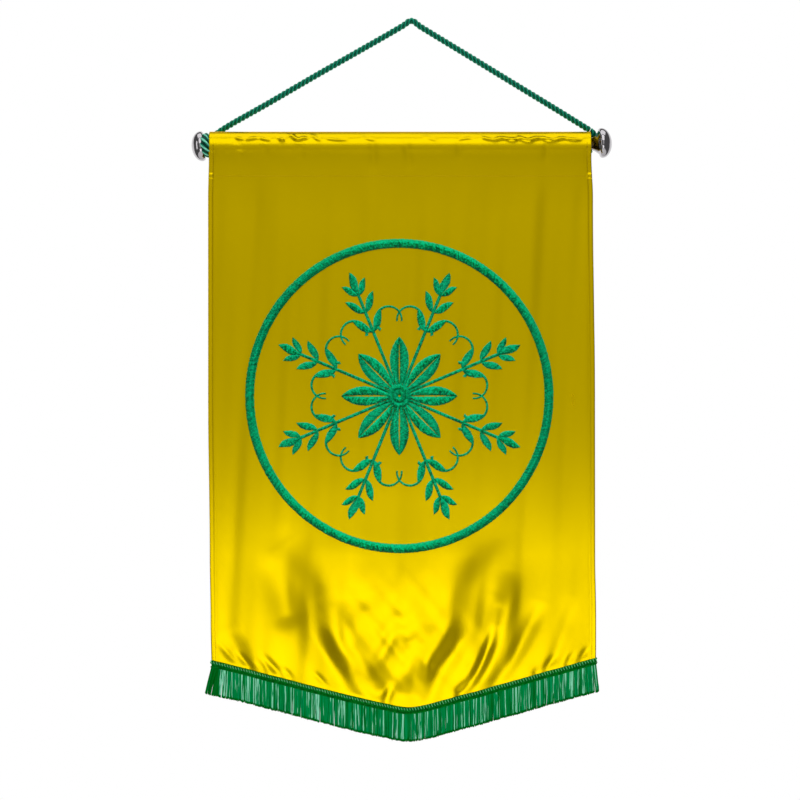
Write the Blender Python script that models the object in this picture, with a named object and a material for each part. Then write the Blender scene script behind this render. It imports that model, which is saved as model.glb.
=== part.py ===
"""Podium banner on its hanging rod: a satin panel with a rod sleeve, an embroidered ring and
rosette, a bullion fringe along its pointed lower edge, a turned rod with two knobs, and a
twisted cord that hangs the whole from one hook.

World frame, in metres: the origin is where the hook carries the cord, X runs to the banner's
right hand as seen from the front, the front faces -Y, and Z is up.
"""

import math
import random

import bmesh
import bpy
from mathutils import Vector

MM = 0.001
GAP = 0.3 * MM

# Cloth
CLOTH = 1.1 * MM
SEAM_DROP = 31.0 * MM
FLAP_DROP = 37.0 * MM
LEAVE_ANGLE = math.radians(15.6)
LEAVE_DECAY = 16.0 * MM
SLEEVE_QUARTER_STEPS = 5
SLEEVE_REAR_STEPS = 7
SLEEVE_ROWS = (8.5, 15.0, 22.5)
FLAT_ROWS = (60.0, 100.0, 182.0, 264.0, 346.0)
FOLDS_FROM = 429.0 * MM
FOLDS_GROW_OVER = 25.0 * MM
LOWER_ROWS = 15
COLUMNS = 40
HEM = 8.0 * MM
HEM_SIDES_AT = 541.0 * MM
BILLOW = 6.5 * MM
BILLOW_GROWS_OVER = 130.0 * MM
BILLOW_WIDTH = 430.0 * MM
MOUTH_DRAWN_IN = 6.0 * MM

# Rod and knobs, from the middle of the rod
ROD_DIAMETER = 24.0 * MM
ROD_DROP = 126.3 * MM
ROD_ASIDE = -10.4 * MM
ROD_LEFT = -189.8 * MM
ROD_RIGHT = 190.0 * MM
KNOB_DIAMETER = 31.2 * MM
KNOB_OFF_ROD = 0.65 * MM
KNOBS_TIPPED = math.radians(5.0)

# Cord
CORD_DIAMETER = 6.8 * MM
CORD_LAY = 14.5 * MM
CORD_STEPS_PER_LAY = 6
CORD_RIDGE = 0.52 * CORD_DIAMETER
CORD_VALLEY = 0.40 * CORD_DIAMETER
CURVE_STEPS = 24

# Fringe
FRINGE_HEIGHT = 35.7 * MM
HEADING_HEIGHT = 8.0 * MM
HEADING_THICK = 2.0 * MM
HEADING_OVER_CLOTH = 6.0 * MM
STRANDS = 150
STRAND_SHARE = 0.68
FLARE_LEFT, FLARE_LEFT_OVER = -6.5 * MM, 0.06
FLARE_RIGHT, FLARE_RIGHT_OVER = 2.6 * MM, 0.05

# Pointed lower edge, as the line of the heading's top
TIP_ASIDE = 6.1 * MM
TIP_DROP = 585.9 * MM
TIP_ROUND = 12.0 * MM
SLOPE_LEFT = 0.2525
SLOPE_RIGHT = 0.2766

# Embroidery
EMBLEM_ASIDE = -2.4 * MM
EMBLEM_DROP = 262.9 * MM
EMBLEM_STRETCH = 1.02
RING_RADIUS = 160.4 * MM
RING_WIDTH = 9.2 * MM
RING_HEIGHT = 1.6 * MM

BORE = ROD_DIAMETER / 2 + GAP
SLEEVE = BORE + CLOTH

# Side edges of the panel: drop below the rod's middle, left edge, right edge (mm)
EDGES = (
    (-20.0, -200.4, 197.2),
    (11.0, -200.4, 197.2),
    (58.0, -201.5, 199.2),
    (267.0, -201.5, 201.3),
    (430.0, -199.8, 201.5),
    (495.0, -198.8, 202.4),
    (560.0, -197.5, 202.2),
    (602.0, -197.3, 201.6),
)

# Troughs of the lower third, each a bow through start, pull and end (x, drop), in mm, with
# its half width and its depth towards the back. A negative depth is a ridge.
FOLDS = (
    dict(start=(-87, 431), pull=(-98, 509), end=(-37, 578), half_width=12, depth=6.5),
    dict(start=(84, 431), pull=(68, 501), end=(7, 583), half_width=15, depth=7.0),
    dict(start=(141, 469), pull=(136, 515), end=(98, 564), half_width=11, depth=4.0),
    dict(start=(99, 506), pull=(91, 542), end=(79, 566), half_width=7, depth=3.0),
    dict(start=(-118, 437), pull=(-116, 451), end=(-104, 473), half_width=18, depth=2.4),
    dict(start=(-57, 471), pull=(-60, 529), end=(-22, 573), half_width=11, depth=-3.5),
    dict(start=(112, 441), pull=(100, 501), end=(54, 569), half_width=13, depth=-3.5),
    dict(start=(-14, 479), pull=(6, 506), end=(-20, 557), half_width=9, depth=3.0),
    dict(start=(-180, 506), pull=(-172, 531), end=(-150, 561), half_width=10, depth=2.2),
)


def smooth(value):
    value = min(max(value, 0.0), 1.0)
    return value * value * (3.0 - 2.0 * value)


def between(low, high, share):
    return low + (high - low) * share


def bow(start, pull, end, share):
    rest = 1.0 - share
    return [rest * rest * a + 2 * rest * share * b + share * share * c for a, b, c in zip(start, pull, end)]


def material(name, colour, roughness, metallic):
    finish = bpy.data.materials.new(name)
    finish.use_nodes = True
    shader = finish.node_tree.nodes["Principled BSDF"]
    shader.inputs["Base Color"].default_value = (*colour, 1.0)
    shader.inputs["Roughness"].default_value = roughness
    shader.inputs["Metallic"].default_value = metallic
    return finish


def finished(name, mesh_data, parent, finish, smooth_angle=None):
    """One object from a bmesh, with its material, placed by its parent."""
    mesh = bpy.data.meshes.new(name)
    mesh_data.to_mesh(mesh)
    mesh_data.free()
    if smooth_angle is not None:
        mesh.shade_smooth()
        mesh.set_sharp_from_angle(angle=math.radians(smooth_angle))
    made = bpy.data.objects.new(name, mesh)
    bpy.context.scene.collection.objects.link(made)
    made.data.materials.append(finish)
    made.parent = parent
    return made


def edge_x(drop):
    """Left and right edge of the panel at this drop, in metres."""
    drop_mm = drop / MM
    for (top, left_top, right_top), (low, left_low, right_low) in zip(EDGES, EDGES[1:]):
        if drop_mm <= low:
            share = smooth((drop_mm - top) / (low - top))
            return between(left_top, left_low, share) * MM, between(right_top, right_low, share) * MM
    return EDGES[-1][1] * MM, EDGES[-1][2] * MM


def heading_top(x):
    """Drop of the heading's top edge at x: two straight slopes that meet in a rounded tip."""
    slope = SLOPE_LEFT if x < TIP_ASIDE else SLOPE_RIGHT
    away = math.hypot(x - TIP_ASIDE, TIP_ROUND) - TIP_ROUND
    return TIP_DROP - slope * away


def cloth_edge(x):
    return heading_top(x) + HEADING_OVER_CLOTH


def hanging_front(drop):
    """Y of the panel's front face at this drop: round the rod, then easing back to the flat."""
    leave = SLEEVE * math.sin(LEAVE_ANGLE)
    if drop <= leave:
        return -math.sqrt(SLEEVE**2 - drop**2)
    eased = 1.0 - math.exp(-(drop - leave) / LEAVE_DECAY)
    return -SLEEVE * math.cos(LEAVE_ANGLE) + math.tan(LEAVE_ANGLE) * LEAVE_DECAY * eased


BOW_STEPS = 14


def fold_depth(x, drop):
    """How far the folds push the cloth towards the back here."""
    depth = 0.0
    for fold in FOLDS:
        nearest, along = math.inf, 0.0
        for step in range(BOW_STEPS + 1):
            px, pz = bow(fold["start"], fold["pull"], fold["end"], step / BOW_STEPS)
            away = math.hypot(x / MM - px, drop / MM - pz)
            if away < nearest:
                nearest, along = away, step / BOW_STEPS
        fade = smooth(0.15 + along / 0.4)
        depth += fold["depth"] * MM * fade * math.exp(-((nearest / fold["half_width"]) ** 2))
    return depth


def panel_front(x, drop):
    """Y of the panel's front face. The hem strip hangs straight, so the fringe lies true on it."""
    drop = min(drop, cloth_edge(x) - HEM)
    lower = smooth((drop - FOLDS_FROM) / BILLOW_GROWS_OVER)
    billow = BILLOW * lower * (0.35 + 0.65 * math.cos(math.pi * x / BILLOW_WIDTH))
    folds = fold_depth(x, drop) * smooth((drop - FOLDS_FROM) / FOLDS_GROW_OVER)
    return hanging_front(drop) - billow + folds


def make_panel(parent, finish):
    """The satin panel: a sleeve round the rod, one hanging ply, side and lower edges cut."""
    leave = SLEEVE * math.sin(LEAVE_ANGLE)
    flap_y = hanging_front(SEAM_DROP) + CLOTH
    bm = bmesh.new()
    columns = []
    for column in range(COLUMNS + 1):
        share = column / COLUMNS

        def at(y, drop, drawn_in=0.0):
            left, right = edge_x(drop)
            x = between(left, right - drawn_in, share)
            return bm.verts.new((x, y, -drop))

        ring_out, ring_in = [], []
        for step in range(SLEEVE_QUARTER_STEPS + 1):
            turn = math.pi / 2 * step / SLEEVE_QUARTER_STEPS
            ring_out.append(at(-SLEEVE * math.sin(turn), -SLEEVE * math.cos(turn)))
            ring_in.append(at(-BORE * math.sin(turn), -BORE * math.cos(turn)))
        front, inside = ring_out, ring_in
        for drop in (leave, *(row * MM for row in SLEEVE_ROWS)):
            front.append(at(hanging_front(drop), drop))
            inside.append(at(hanging_front(drop) + CLOTH, drop))
        front.append(at(hanging_front(SEAM_DROP), SEAM_DROP))
        crotch = at(flap_y, SEAM_DROP)
        inside.append(crotch)

        front.append(at(hanging_front(FLAP_DROP), FLAP_DROP))
        back = [at(hanging_front(FLAP_DROP) + CLOTH, FLAP_DROP)]
        for drop_mm in (*FLAT_ROWS, FOLDS_FROM / MM):
            drop = drop_mm * MM
            front.append(at(hanging_front(drop), drop))
            back.append(at(hanging_front(drop) + CLOTH, drop))
        for row in range(1, LOWER_ROWS + 1):
            left, right = edge_x(HEM_SIDES_AT)
            low = cloth_edge(between(left, right, share))
            drop = between(FOLDS_FROM, low - HEM, row / (LOWER_ROWS - 1)) if row < LOWER_ROWS else low
            left, right = edge_x(drop)
            x = between(left, right, share)
            front.append(at(panel_front(x, drop), drop))
            back.append(at(panel_front(x, drop) + CLOTH, drop))

        rear_out, rear_in = [ring_out[0]], [ring_in[0]]
        for radius, chain, end_y in ((SLEEVE, rear_out, flap_y + CLOTH), (BORE, rear_in, flap_y)):
            reach = math.hypot(end_y, SEAM_DROP)
            leaves = math.pi / 2 + math.asin(radius / reach) - math.atan2(end_y, SEAM_DROP)
            for step in range(1, SLEEVE_REAR_STEPS + 1):
                turn = leaves * step / SLEEVE_REAR_STEPS
                drawn = MOUTH_DRAWN_IN * math.sin(min(turn, math.pi / 2))
                chain.append(at(radius * math.sin(turn), -radius * math.cos(turn), drawn))
            last = Vector((radius * math.sin(leaves), radius * math.cos(leaves)))
            for step in (1, 2):
                y = between(last.x, end_y, step / 3)
                drop = between(-last.y, SEAM_DROP, step / 3)
                chain.append(at(y, drop, MOUTH_DRAWN_IN * (1 - step / 3)))
        rear_out.append(at(flap_y + CLOTH, SEAM_DROP))
        rear_in.append(crotch)
        rear_out.append(at(hanging_front(FLAP_DROP) + 2 * CLOTH, FLAP_DROP))
        columns.append(dict(front=front, inside=inside, back=back, rear_out=rear_out, rear_in=rear_in))

    for near, far in zip(columns, columns[1:]):
        skins = (
            (near["front"], far["front"]),
            (far["rear_out"] + [far["back"][0]], near["rear_out"] + [near["back"][0]]),
            (far["inside"], near["inside"]),
            (near["rear_in"], far["rear_in"]),
            (far["back"], near["back"]),
            ([near["front"][-1], near["back"][-1]], [far["front"][-1], far["back"][-1]]),
        )
        for one, other in skins:
            for a, b, c, d in zip(one, one[1:], other[1:], other):
                bm.faces.new((a, b, c, d))
    for column in (columns[0], columns[-1]):
        hanging = (column["front"], column["inside"] + column["back"])
        wrapped = (column["rear_in"] + [column["back"][0]], column["rear_out"])
        for one, other in (hanging, wrapped):
            for a, b, c, d in zip(one, one[1:], other[1:], other):
                bm.faces.new((a, b, c, d))
    bmesh.ops.recalc_face_normals(bm, faces=bm.faces)
    return finished("panel", bm, parent, finish, smooth_angle=50)


def turned(name, profile, segments, parent, finish, facing=1):
    """A piece turned about the rod's axis, from (along, radius) points; closed where it meets the axis."""
    bm = bmesh.new()
    points = [bm.verts.new((facing * along, 0.0, radius)) for along, radius in profile]
    edges = [bm.edges.new(pair) for pair in zip(points, points[1:])]
    if profile[0][1] > 0:
        edges.append(bm.edges.new((points[-1], points[0])))
    bmesh.ops.spin(
        bm,
        geom=points + edges,
        cent=(0, 0, 0),
        axis=(1, 0, 0),
        angle=2 * math.pi,
        steps=segments,
        use_merge=True,
    )
    bmesh.ops.remove_doubles(bm, verts=bm.verts, dist=1e-6)
    bmesh.ops.recalc_face_normals(bm, faces=bm.faces)
    return finished(name, bm, parent, finish, smooth_angle=35)


# Knob, from the rod's end outwards: shank, cone, lip, then a domed cap (mm)
SHANK = ((0.0, 4.0), (6.9, 4.0))
CONE = ((6.9, 5.2), (10.9, 7.4), (15.3, 11.2))
LIP = ((15.8, 13.6), (17.0, 15.1))
DOME_FROM, DOME_DEPTH, DOME_STEPS = 18.8, 10.4, 5


def knob_profile():
    near = KNOB_OFF_ROD
    profile = [(near, 0.0)] + [(near + along * MM, radius * MM) for along, radius in SHANK + CONE + LIP]
    for step in range(DOME_STEPS):
        turn = math.pi / 2 * step / DOME_STEPS
        along = DOME_FROM + DOME_DEPTH * math.sin(turn)
        profile.append((near + along * MM, KNOB_DIAMETER / 2 * math.cos(turn)))
    profile.append((near + (DOME_FROM + DOME_DEPTH) * MM, 0.0))
    return profile


# Winding round the left neck, from the rod's end outwards: along, radius (mm)
LEFT_WINDING = ((11.2, 7.9), (11.3, 11.0), (12.7, 13.1), (14.5, 13.2), (15.6, 12.6), (15.2, 11.4))


def tube(name, route, radii, twist, parent, finish):
    """A closed tube along the route. radii gives one ring's spokes, and twist turns each ring on."""
    bm = bmesh.new()
    rings = []
    side = Vector((0, 1, 0))
    for index, point in enumerate(route):
        ahead = route[min(index + 1, len(route) - 1)] - route[max(index - 1, 0)]
        ahead.normalize()
        side = (side - ahead * side.dot(ahead)).normalized()
        across = ahead.cross(side)
        ring = []
        for spoke, radius in enumerate(radii):
            turn = 2 * math.pi * spoke / len(radii) + twist * index
            ring.append(bm.verts.new(point + radius * (math.cos(turn) * side + math.sin(turn) * across)))
        rings.append(ring)
    for near, far in zip(rings, rings[1:]):
        for spoke in range(len(radii)):
            after = (spoke + 1) % len(radii)
            bm.faces.new((near[spoke], near[after], far[after], far[spoke]))
    bm.faces.new(reversed(rings[0]))
    bm.faces.new(rings[-1])
    bmesh.ops.recalc_face_normals(bm, faces=bm.faces)
    return finished(name, bm, parent, finish, smooth_angle=60)


# The cord's route from the left knob over the hook to the right knob: x, y, z (mm) from the hook
CORD_ROUTE = (
    (-212.6, 17.0, -128.5),
    (-210.9, 16.7, -120.6),
    (-206.5, 16.0, -114.0),
    (-198.0, 13.8, -108.0),
    (-150.0, 8.4, -81.5),
    (-100.0, 5.4, -53.0),
    (-50.0, 2.6, -25.1),
    (-19.0, 0.9, -7.7),
    (-9.0, 0.3, -1.9),
    (0.0, 0.0, 3.2),
    (9.0, 0.2, -2.7),
    (19.0, 0.5, -8.8),
    (50.0, 1.2, -27.5),
    (100.2, 2.8, -57.8),
    (150.4, 4.8, -88.0),
    (187.0, 6.4, -110.35),
)

# The cord's end, turned down behind the right knob's neck: same frame (mm)
RIGHT_TUCK = (
    (187.6, 6.45, -110.7),
    (188.9, 6.6, -111.5),
    (190.2, 7.3, -112.8),
    (190.9, 8.8, -115.0),
    (190.8, 10.6, -118.1),
    (190.1, 12.0, -121.4),
    (189.1, 12.5, -125.2),
    (188.0, 12.1, -129.2),
    (186.7, 10.7, -132.8),
    (185.5, 8.7, -135.6),
)


def through(points, step):
    """Points at an even step along a smooth curve through these."""
    points = [Vector(point) * MM for point in points]
    padded = [points[0] * 2 - points[1]] + points + [points[-1] * 2 - points[-2]]
    dense = []
    for a, b, c, d in zip(padded, padded[1:], padded[2:], padded[3:]):
        gaps = [math.sqrt((q - p).length) for p, q in ((a, b), (b, c), (c, d))]
        slope_b = ((b - a) / gaps[0] - (c - a) / (gaps[0] + gaps[1]) + (c - b) / gaps[1]) * gaps[1]
        slope_c = ((c - b) / gaps[1] - (d - b) / (gaps[1] + gaps[2]) + (d - c) / gaps[2]) * gaps[1]
        for part in range(CURVE_STEPS):
            t = part / CURVE_STEPS
            dense.append(
                b * (2 * t**3 - 3 * t**2 + 1)
                + slope_b * (t**3 - 2 * t**2 + t)
                + c * (3 * t**2 - 2 * t**3)
                + slope_c * (t**3 - t**2)
            )
    dense.append(points[-1])
    whole = sum((q - p).length for p, q in zip(dense, dense[1:]))
    count = max(2, round(whole / step))
    even, walked, wanted = [dense[0]], 0.0, whole / count
    for p, q in zip(dense, dense[1:]):
        length = (q - p).length
        while walked + length >= wanted - 1e-9 and len(even) < count:
            even.append(p.lerp(q, (wanted - walked) / length))
            wanted += whole / count
        walked += length
    even.append(dense[-1])
    return even


def make_fringe(parent, finish):
    """A woven heading laid on the panel's lower edge, with cut strands hanging from it."""
    rng = random.Random(7)
    left, right = edge_x(HEM_SIDES_AT)
    hem_x = [between(left, right, column / COLUMNS) for column in range(COLUMNS + 1)]
    hem_y = [panel_front(x, cloth_edge(x)) for x in hem_x]

    def on_hem(x):
        place = (x - left) / (right - left) * COLUMNS
        column = min(max(int(place), 0), COLUMNS - 1)
        return between(hem_y[column], hem_y[column + 1], place - column)

    bm = bmesh.new()
    pitch = (right - left) / (STRANDS - 1 + STRAND_SHARE)
    stations = []
    for strand in range(STRANDS):
        stations += [left + strand * pitch, left + (strand + STRAND_SHARE) * pitch]
    rows = []
    for x in stations:
        back = on_hem(x) - GAP
        top = -heading_top(x)
        corners = ((back - HEADING_THICK, top), (back, top), (back, top - HEADING_HEIGHT))
        corners += ((back - HEADING_THICK, top - HEADING_HEIGHT),)
        rows.append([bm.verts.new((x, y, z)) for y, z in corners])
    for index, (near, far) in enumerate(zip(rows, rows[1:])):
        for corner in (0, 1, 3):
            after = (corner + 1) % 4
            bm.faces.new((near[corner], near[after], far[after], far[corner]))
        if index % 2:
            bm.faces.new((near[2], near[3], far[3], far[2]))
            continue
        share = (near[0].co.x - left) / (right - left)
        flare = FLARE_LEFT * (1 - smooth(share / FLARE_LEFT_OVER))
        flare += FLARE_RIGHT * smooth((share - 1) / FLARE_RIGHT_OVER + 1)
        swing = Vector((flare + rng.uniform(-0.3, 0.3) * MM, rng.uniform(-0.8, 0.8) * MM, 0))
        swing.z = -(FRINGE_HEIGHT - HEADING_HEIGHT) + rng.uniform(-0.8, 0.8) * MM
        roots = (near[2], near[3], far[3], far[2])
        tips = [bm.verts.new(root.co + swing) for root in roots]
        for corner in range(4):
            after = (corner + 1) % 4
            bm.faces.new((roots[corner], roots[after], tips[after], tips[corner]))
        bm.faces.new(tips)
    bm.faces.new(rows[0])
    bm.faces.new(rows[-1])
    bmesh.ops.recalc_face_normals(bm, faces=bm.faces)
    return finished("fringe", bm, parent, finish)


def ring_section():
    """Embroidered ring: along Y towards the front and radius, a low padded band."""
    inner, outer = RING_RADIUS - RING_WIDTH, RING_RADIUS
    return (
        (0.0, inner),
        (0.0, outer),
        (-RING_HEIGHT * 0.6, outer),
        (-RING_HEIGHT, outer - RING_WIDTH * 0.3),
        (-RING_HEIGHT, inner + RING_WIDTH * 0.3),
        (-RING_HEIGHT * 0.6, inner),
    )


def make_ring(parent, finish):
    bm = bmesh.new()
    points = [bm.verts.new((0.0, y, radius)) for y, radius in ring_section()]
    edges = [bm.edges.new((a, b)) for a, b in zip(points, points[1:] + points[:1])]
    bmesh.ops.spin(
        bm, geom=points + edges, cent=(0, 0, 0), axis=(0, 1, 0), angle=2 * math.pi, steps=72, use_merge=True
    )
    bmesh.ops.remove_doubles(bm, verts=bm.verts, dist=1e-6)
    bmesh.ops.scale(bm, vec=(1.0, 1.0, EMBLEM_STRETCH), verts=bm.verts)
    bmesh.ops.recalc_face_normals(bm, faces=bm.faces)
    return finished("emblem_ring", bm, parent, finish, smooth_angle=50)


# Rosette, radii in mm: eight petals, eight leafy sprigs between them, and a tendril pair on each
PETALS = 8
BOSS = dict(radius=13.0, height=2.0, sides=24)
PETAL = dict(root=8.0, tip=60.0, width=21.0, height=1.7)
STEM = dict(root=8.0, tip=116.0, width=3.4, height=1.0)
SIDE_LEAVES = (
    dict(at=70.0, length=25.0, width=8.5),
    dict(at=91.0, length=24.0, width=8.0),
    dict(at=110.0, length=20.0, width=7.0),
)
END_LEAF = dict(at=112.0, length=24.0, width=9.0)
LEAF_ANGLE = math.radians(40)
LEAF_CROSSING = 0.9
LEAF_HEIGHT = 1.3
TENDRIL = dict(centre=78.0, aside=11.0, radius=13.5, width=3.2, height=0.9)
TENDRIL_START, TENDRIL_SWEEP, TENDRIL_TAPER = math.radians(40), math.radians(235), 0.4


def leaf_outline(length, width, points=4):
    """A pointed leaf from its root at the origin along +X."""
    upper = []
    for step in range(1, points):
        share = step / points
        upper.append((length * share, width / 2 * math.sin(math.pi * share) ** 0.8))
    return [(0.0, 0.0)] + [(x, -z) for x, z in upper] + [(length, 0.0)] + upper[::-1]


def prism(bm, outline, turn, offset, height):
    """A flat shape laid on the cloth: the outline turned by turn after it is moved by offset."""
    low, high = [], []
    for x, z in outline:
        x, z = x + offset[0], z + offset[1]
        px, pz = x * math.cos(turn) - z * math.sin(turn), x * math.sin(turn) + z * math.cos(turn)
        pz *= EMBLEM_STRETCH
        low.append(bm.verts.new((px * MM, 0.0, pz * MM)))
        high.append(bm.verts.new((px * MM, -height * MM, pz * MM)))
    faces = [bm.faces.new(low[::-1]), bm.faces.new(high)]
    for index in range(len(low)):
        after = (index + 1) % len(low)
        faces.append(bm.faces.new((low[index], low[after], high[after], high[index])))
    bmesh.ops.recalc_face_normals(bm, faces=faces)


def turned_outline(outline, turn, offset):
    cos, sin = math.cos(turn), math.sin(turn)
    return [(x * cos - z * sin + offset[0], x * sin + z * cos + offset[1]) for x, z in outline]


def tendril_outline(side):
    """An arc of even width that curls away from the petal's tip."""
    arc, steps = [], 6
    for edge in (-0.5, 0.5):
        row = []
        for step in range(steps + 1):
            turn = math.pi - side * (TENDRIL_START + TENDRIL_SWEEP * step / steps)
            radius = TENDRIL["radius"] + edge * TENDRIL["width"] * (1 - TENDRIL_TAPER * step / steps)
            x = TENDRIL["centre"] + radius * math.cos(turn)
            row.append((x, side * TENDRIL["aside"] + radius * math.sin(turn)))
        arc += row if edge < 0 else row[::-1]
    return arc


def make_rosette(parent, finish):
    disc = bmesh.new()
    rim = [math.tau * k / BOSS["sides"] for k in range(BOSS["sides"])]
    outline = [(BOSS["radius"] * math.cos(turn), BOSS["radius"] * math.sin(turn)) for turn in rim]
    prism(disc, outline, 0.0, (0.0, 0.0), BOSS["height"])
    boss = finished("rosette_boss", disc, parent, finish)
    boss.hide_render = True
    boss.display_type = "WIRE"

    bm = bmesh.new()
    for petal in range(PETALS):
        turn = math.tau * petal / PETALS + math.pi / 2
        outline = leaf_outline(PETAL["tip"] - PETAL["root"], PETAL["width"], points=6)
        prism(bm, outline, turn, (PETAL["root"], 0.0), PETAL["height"])
        for side in (-1, 1):
            prism(bm, tendril_outline(side), turn, (0.0, 0.0), TENDRIL["height"])
        turn += math.pi / PETALS
        near, far, half = STEM["root"], STEM["tip"], STEM["width"] / 2
        stem = [(near, -half), (far, -half), (far, half), (near, half)]
        prism(bm, stem, turn, (0.0, 0.0), STEM["height"])
        end_leaf = leaf_outline(END_LEAF["length"], END_LEAF["width"])
        prism(bm, end_leaf, turn, (END_LEAF["at"], 0.0), LEAF_HEIGHT)
        for leaf in SIDE_LEAVES:
            for side in (-1, 1):
                blade = leaf_outline(leaf["length"], leaf["width"])
                outline = turned_outline(blade, side * LEAF_ANGLE, (leaf["at"], -side * LEAF_CROSSING))
                prism(bm, outline, turn, (0.0, 0.0), LEAF_HEIGHT)
    rosette = finished("emblem_rosette", bm, parent, finish)
    union = rosette.modifiers.new("one body", "BOOLEAN")
    union.operation = "UNION"
    union.object = boss
    union.use_self = True
    return rosette


def empty(name, parent, place, tipped=0.0):
    holder = bpy.data.objects.new(name, None)
    holder.rotation_euler.y = -tipped
    bpy.context.scene.collection.objects.link(holder)
    holder.parent = parent
    holder.location = place
    return holder


def build():
    for old in list(bpy.data.objects):
        bpy.data.objects.remove(old, do_unlink=True)
    satin = material("gold satin", (0.74, 0.56, 0.01), 0.35, 0.0)
    yarn = material("green fringe yarn", (0.01, 0.20, 0.05), 0.6, 0.0)
    rope = material("green cord", (0.005, 0.14, 0.07), 0.55, 0.0)
    thread = material("green embroidery thread", (0.0, 0.30, 0.13), 0.4, 0.0)
    chrome = material("dark chrome", (0.22, 0.21, 0.22), 0.15, 1.0)
    steel = material("brushed steel", (0.45, 0.45, 0.45), 0.35, 1.0)

    hook = empty("hook_point", None, (0, 0, 0))
    rod_middle = empty("rod_middle", hook, (ROD_ASIDE, 0, -ROD_DROP))
    left_end = empty("rod_left_end", rod_middle, (ROD_LEFT, 0, 0), KNOBS_TIPPED)
    right_end = empty("rod_right_end", rod_middle, (ROD_RIGHT, 0, 0), KNOBS_TIPPED)
    flat_y = hanging_front(EMBLEM_DROP) - GAP
    emblem_middle = empty("emblem_middle", rod_middle, (EMBLEM_ASIDE, flat_y, -EMBLEM_DROP))

    make_panel(rod_middle, satin)
    make_fringe(rod_middle, yarn)
    rod_radius = ROD_DIAMETER / 2
    rod_profile = [(ROD_LEFT, 0.0), (ROD_LEFT, rod_radius), (ROD_RIGHT, rod_radius), (ROD_RIGHT, 0.0)]
    turned("rod", rod_profile, 32, rod_middle, steel)
    turned("knob_left", knob_profile(), 28, left_end, chrome, facing=-1)
    turned("knob_right", knob_profile(), 28, right_end, chrome)
    winding = [(along * MM, radius * MM) for along, radius in LEFT_WINDING]
    turned("tie_left", winding, 28, left_end, rope, facing=-1)

    step = CORD_LAY / CORD_STEPS_PER_LAY
    twist = math.tau / CORD_STEPS_PER_LAY * 0.999
    strands = (CORD_RIDGE, CORD_VALLEY) * 3
    tube("cord", through(CORD_ROUTE, step), strands, twist, hook, rope)
    tube("tie_right", through(RIGHT_TUCK, step / 2), strands, twist / 2, hook, rope)

    make_ring(emblem_middle, thread)
    make_rosette(emblem_middle, thread)


build()
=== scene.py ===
"""The looks of a podium banner on its hanging rod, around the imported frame.

The pieces come in the order a maker puts them together, then the studio and the camera.
Places on the banner are x to the right and drop downwards, in mm from the rod's middle.
"""

import math

import bmesh
import bpy
import numpy as np
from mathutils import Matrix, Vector


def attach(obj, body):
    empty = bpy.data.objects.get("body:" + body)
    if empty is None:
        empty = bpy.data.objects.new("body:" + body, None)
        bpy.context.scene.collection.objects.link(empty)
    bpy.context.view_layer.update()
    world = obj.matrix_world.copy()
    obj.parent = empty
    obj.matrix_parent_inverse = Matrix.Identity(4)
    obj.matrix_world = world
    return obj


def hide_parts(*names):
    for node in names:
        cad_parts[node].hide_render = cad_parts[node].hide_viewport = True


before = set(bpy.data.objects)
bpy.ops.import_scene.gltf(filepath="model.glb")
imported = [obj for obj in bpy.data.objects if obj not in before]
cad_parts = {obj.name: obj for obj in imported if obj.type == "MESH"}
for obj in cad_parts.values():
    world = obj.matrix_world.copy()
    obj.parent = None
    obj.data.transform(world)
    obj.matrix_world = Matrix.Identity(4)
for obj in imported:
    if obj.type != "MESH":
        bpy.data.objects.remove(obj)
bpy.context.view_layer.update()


# Rod
# A plain steel tube, brushed along its length, that the banner's sleeve slides onto. It is the
# frame's own solid and only gets its finish here.


def add(tree, kind, inputs=None, **settings):
    """A node with its settings; an input takes a value or the socket that feeds it."""
    made = tree.nodes.new(kind)
    for key, value in settings.items():
        setattr(made, key, value)
    for key, value in (inputs or {}).items():
        if isinstance(value, bpy.types.NodeSocket):
            tree.links.new(value, made.inputs[key])
        else:
            made.inputs[key].default_value = value
    return made


def new_material(name, **values):
    """A material with one Principled shader; returns it, its tree and the shader."""
    made = bpy.data.materials.new(name)
    made.use_nodes = True
    shader = made.node_tree.nodes["Principled BSDF"]
    for key, value in values.items():
        shader.inputs[key.replace("_", " ")].default_value = value
    return made, made.node_tree, shader


def object_place(tree):
    """Where on the piece a point is, in metres."""
    return add(tree, "ShaderNodeTexCoord").outputs["Object"]


def noise(tree, place, detail=2.0, scale=1.0, stretch=None):
    """A noise socket at a place; stretch sets how often it repeats along each of three ways."""
    if stretch is not None:
        place = add(tree, "ShaderNodeMapping", {"Vector": place, "Scale": stretch}).outputs["Vector"]
    return add(tree, "ShaderNodeTexNoise", {"Vector": place, "Scale": scale, "Detail": detail}).outputs["Fac"]


def roughened(tree, shader, socket, smoothest, roughest):
    """Roughness that wanders between two values with a socket from 0 to 1."""
    polish = add(tree, "ShaderNodeMapRange", {"Value": socket, "To Min": smoothest, "To Max": roughest})
    tree.links.new(polish.outputs["Result"], shader.inputs["Roughness"])


steel, tree, shader = new_material("brushed steel", Base_Color=(0.45, 0.45, 0.45, 1), Metallic=1.0)
brushing = noise(tree, object_place(tree), 3.0, stretch=(12.0, 2600.0, 2600.0))
roughened(tree, shader, brushing, 0.28, 0.42)
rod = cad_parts["rod"]
rod.data.materials.clear()
rod.data.materials.append(steel)


# Satin panel
# One strip of gold satin with rolled side hems. It runs from its pointed lower edge up over the
# rod and 37 mm down behind itself, where a seam closes the sleeve.

MM = 0.001
ROD_MIDDLE = np.array((-10.4, 0.0, -126.3))
HALF_CLOTH = 0.7
SLEEVE = 13.4
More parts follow.
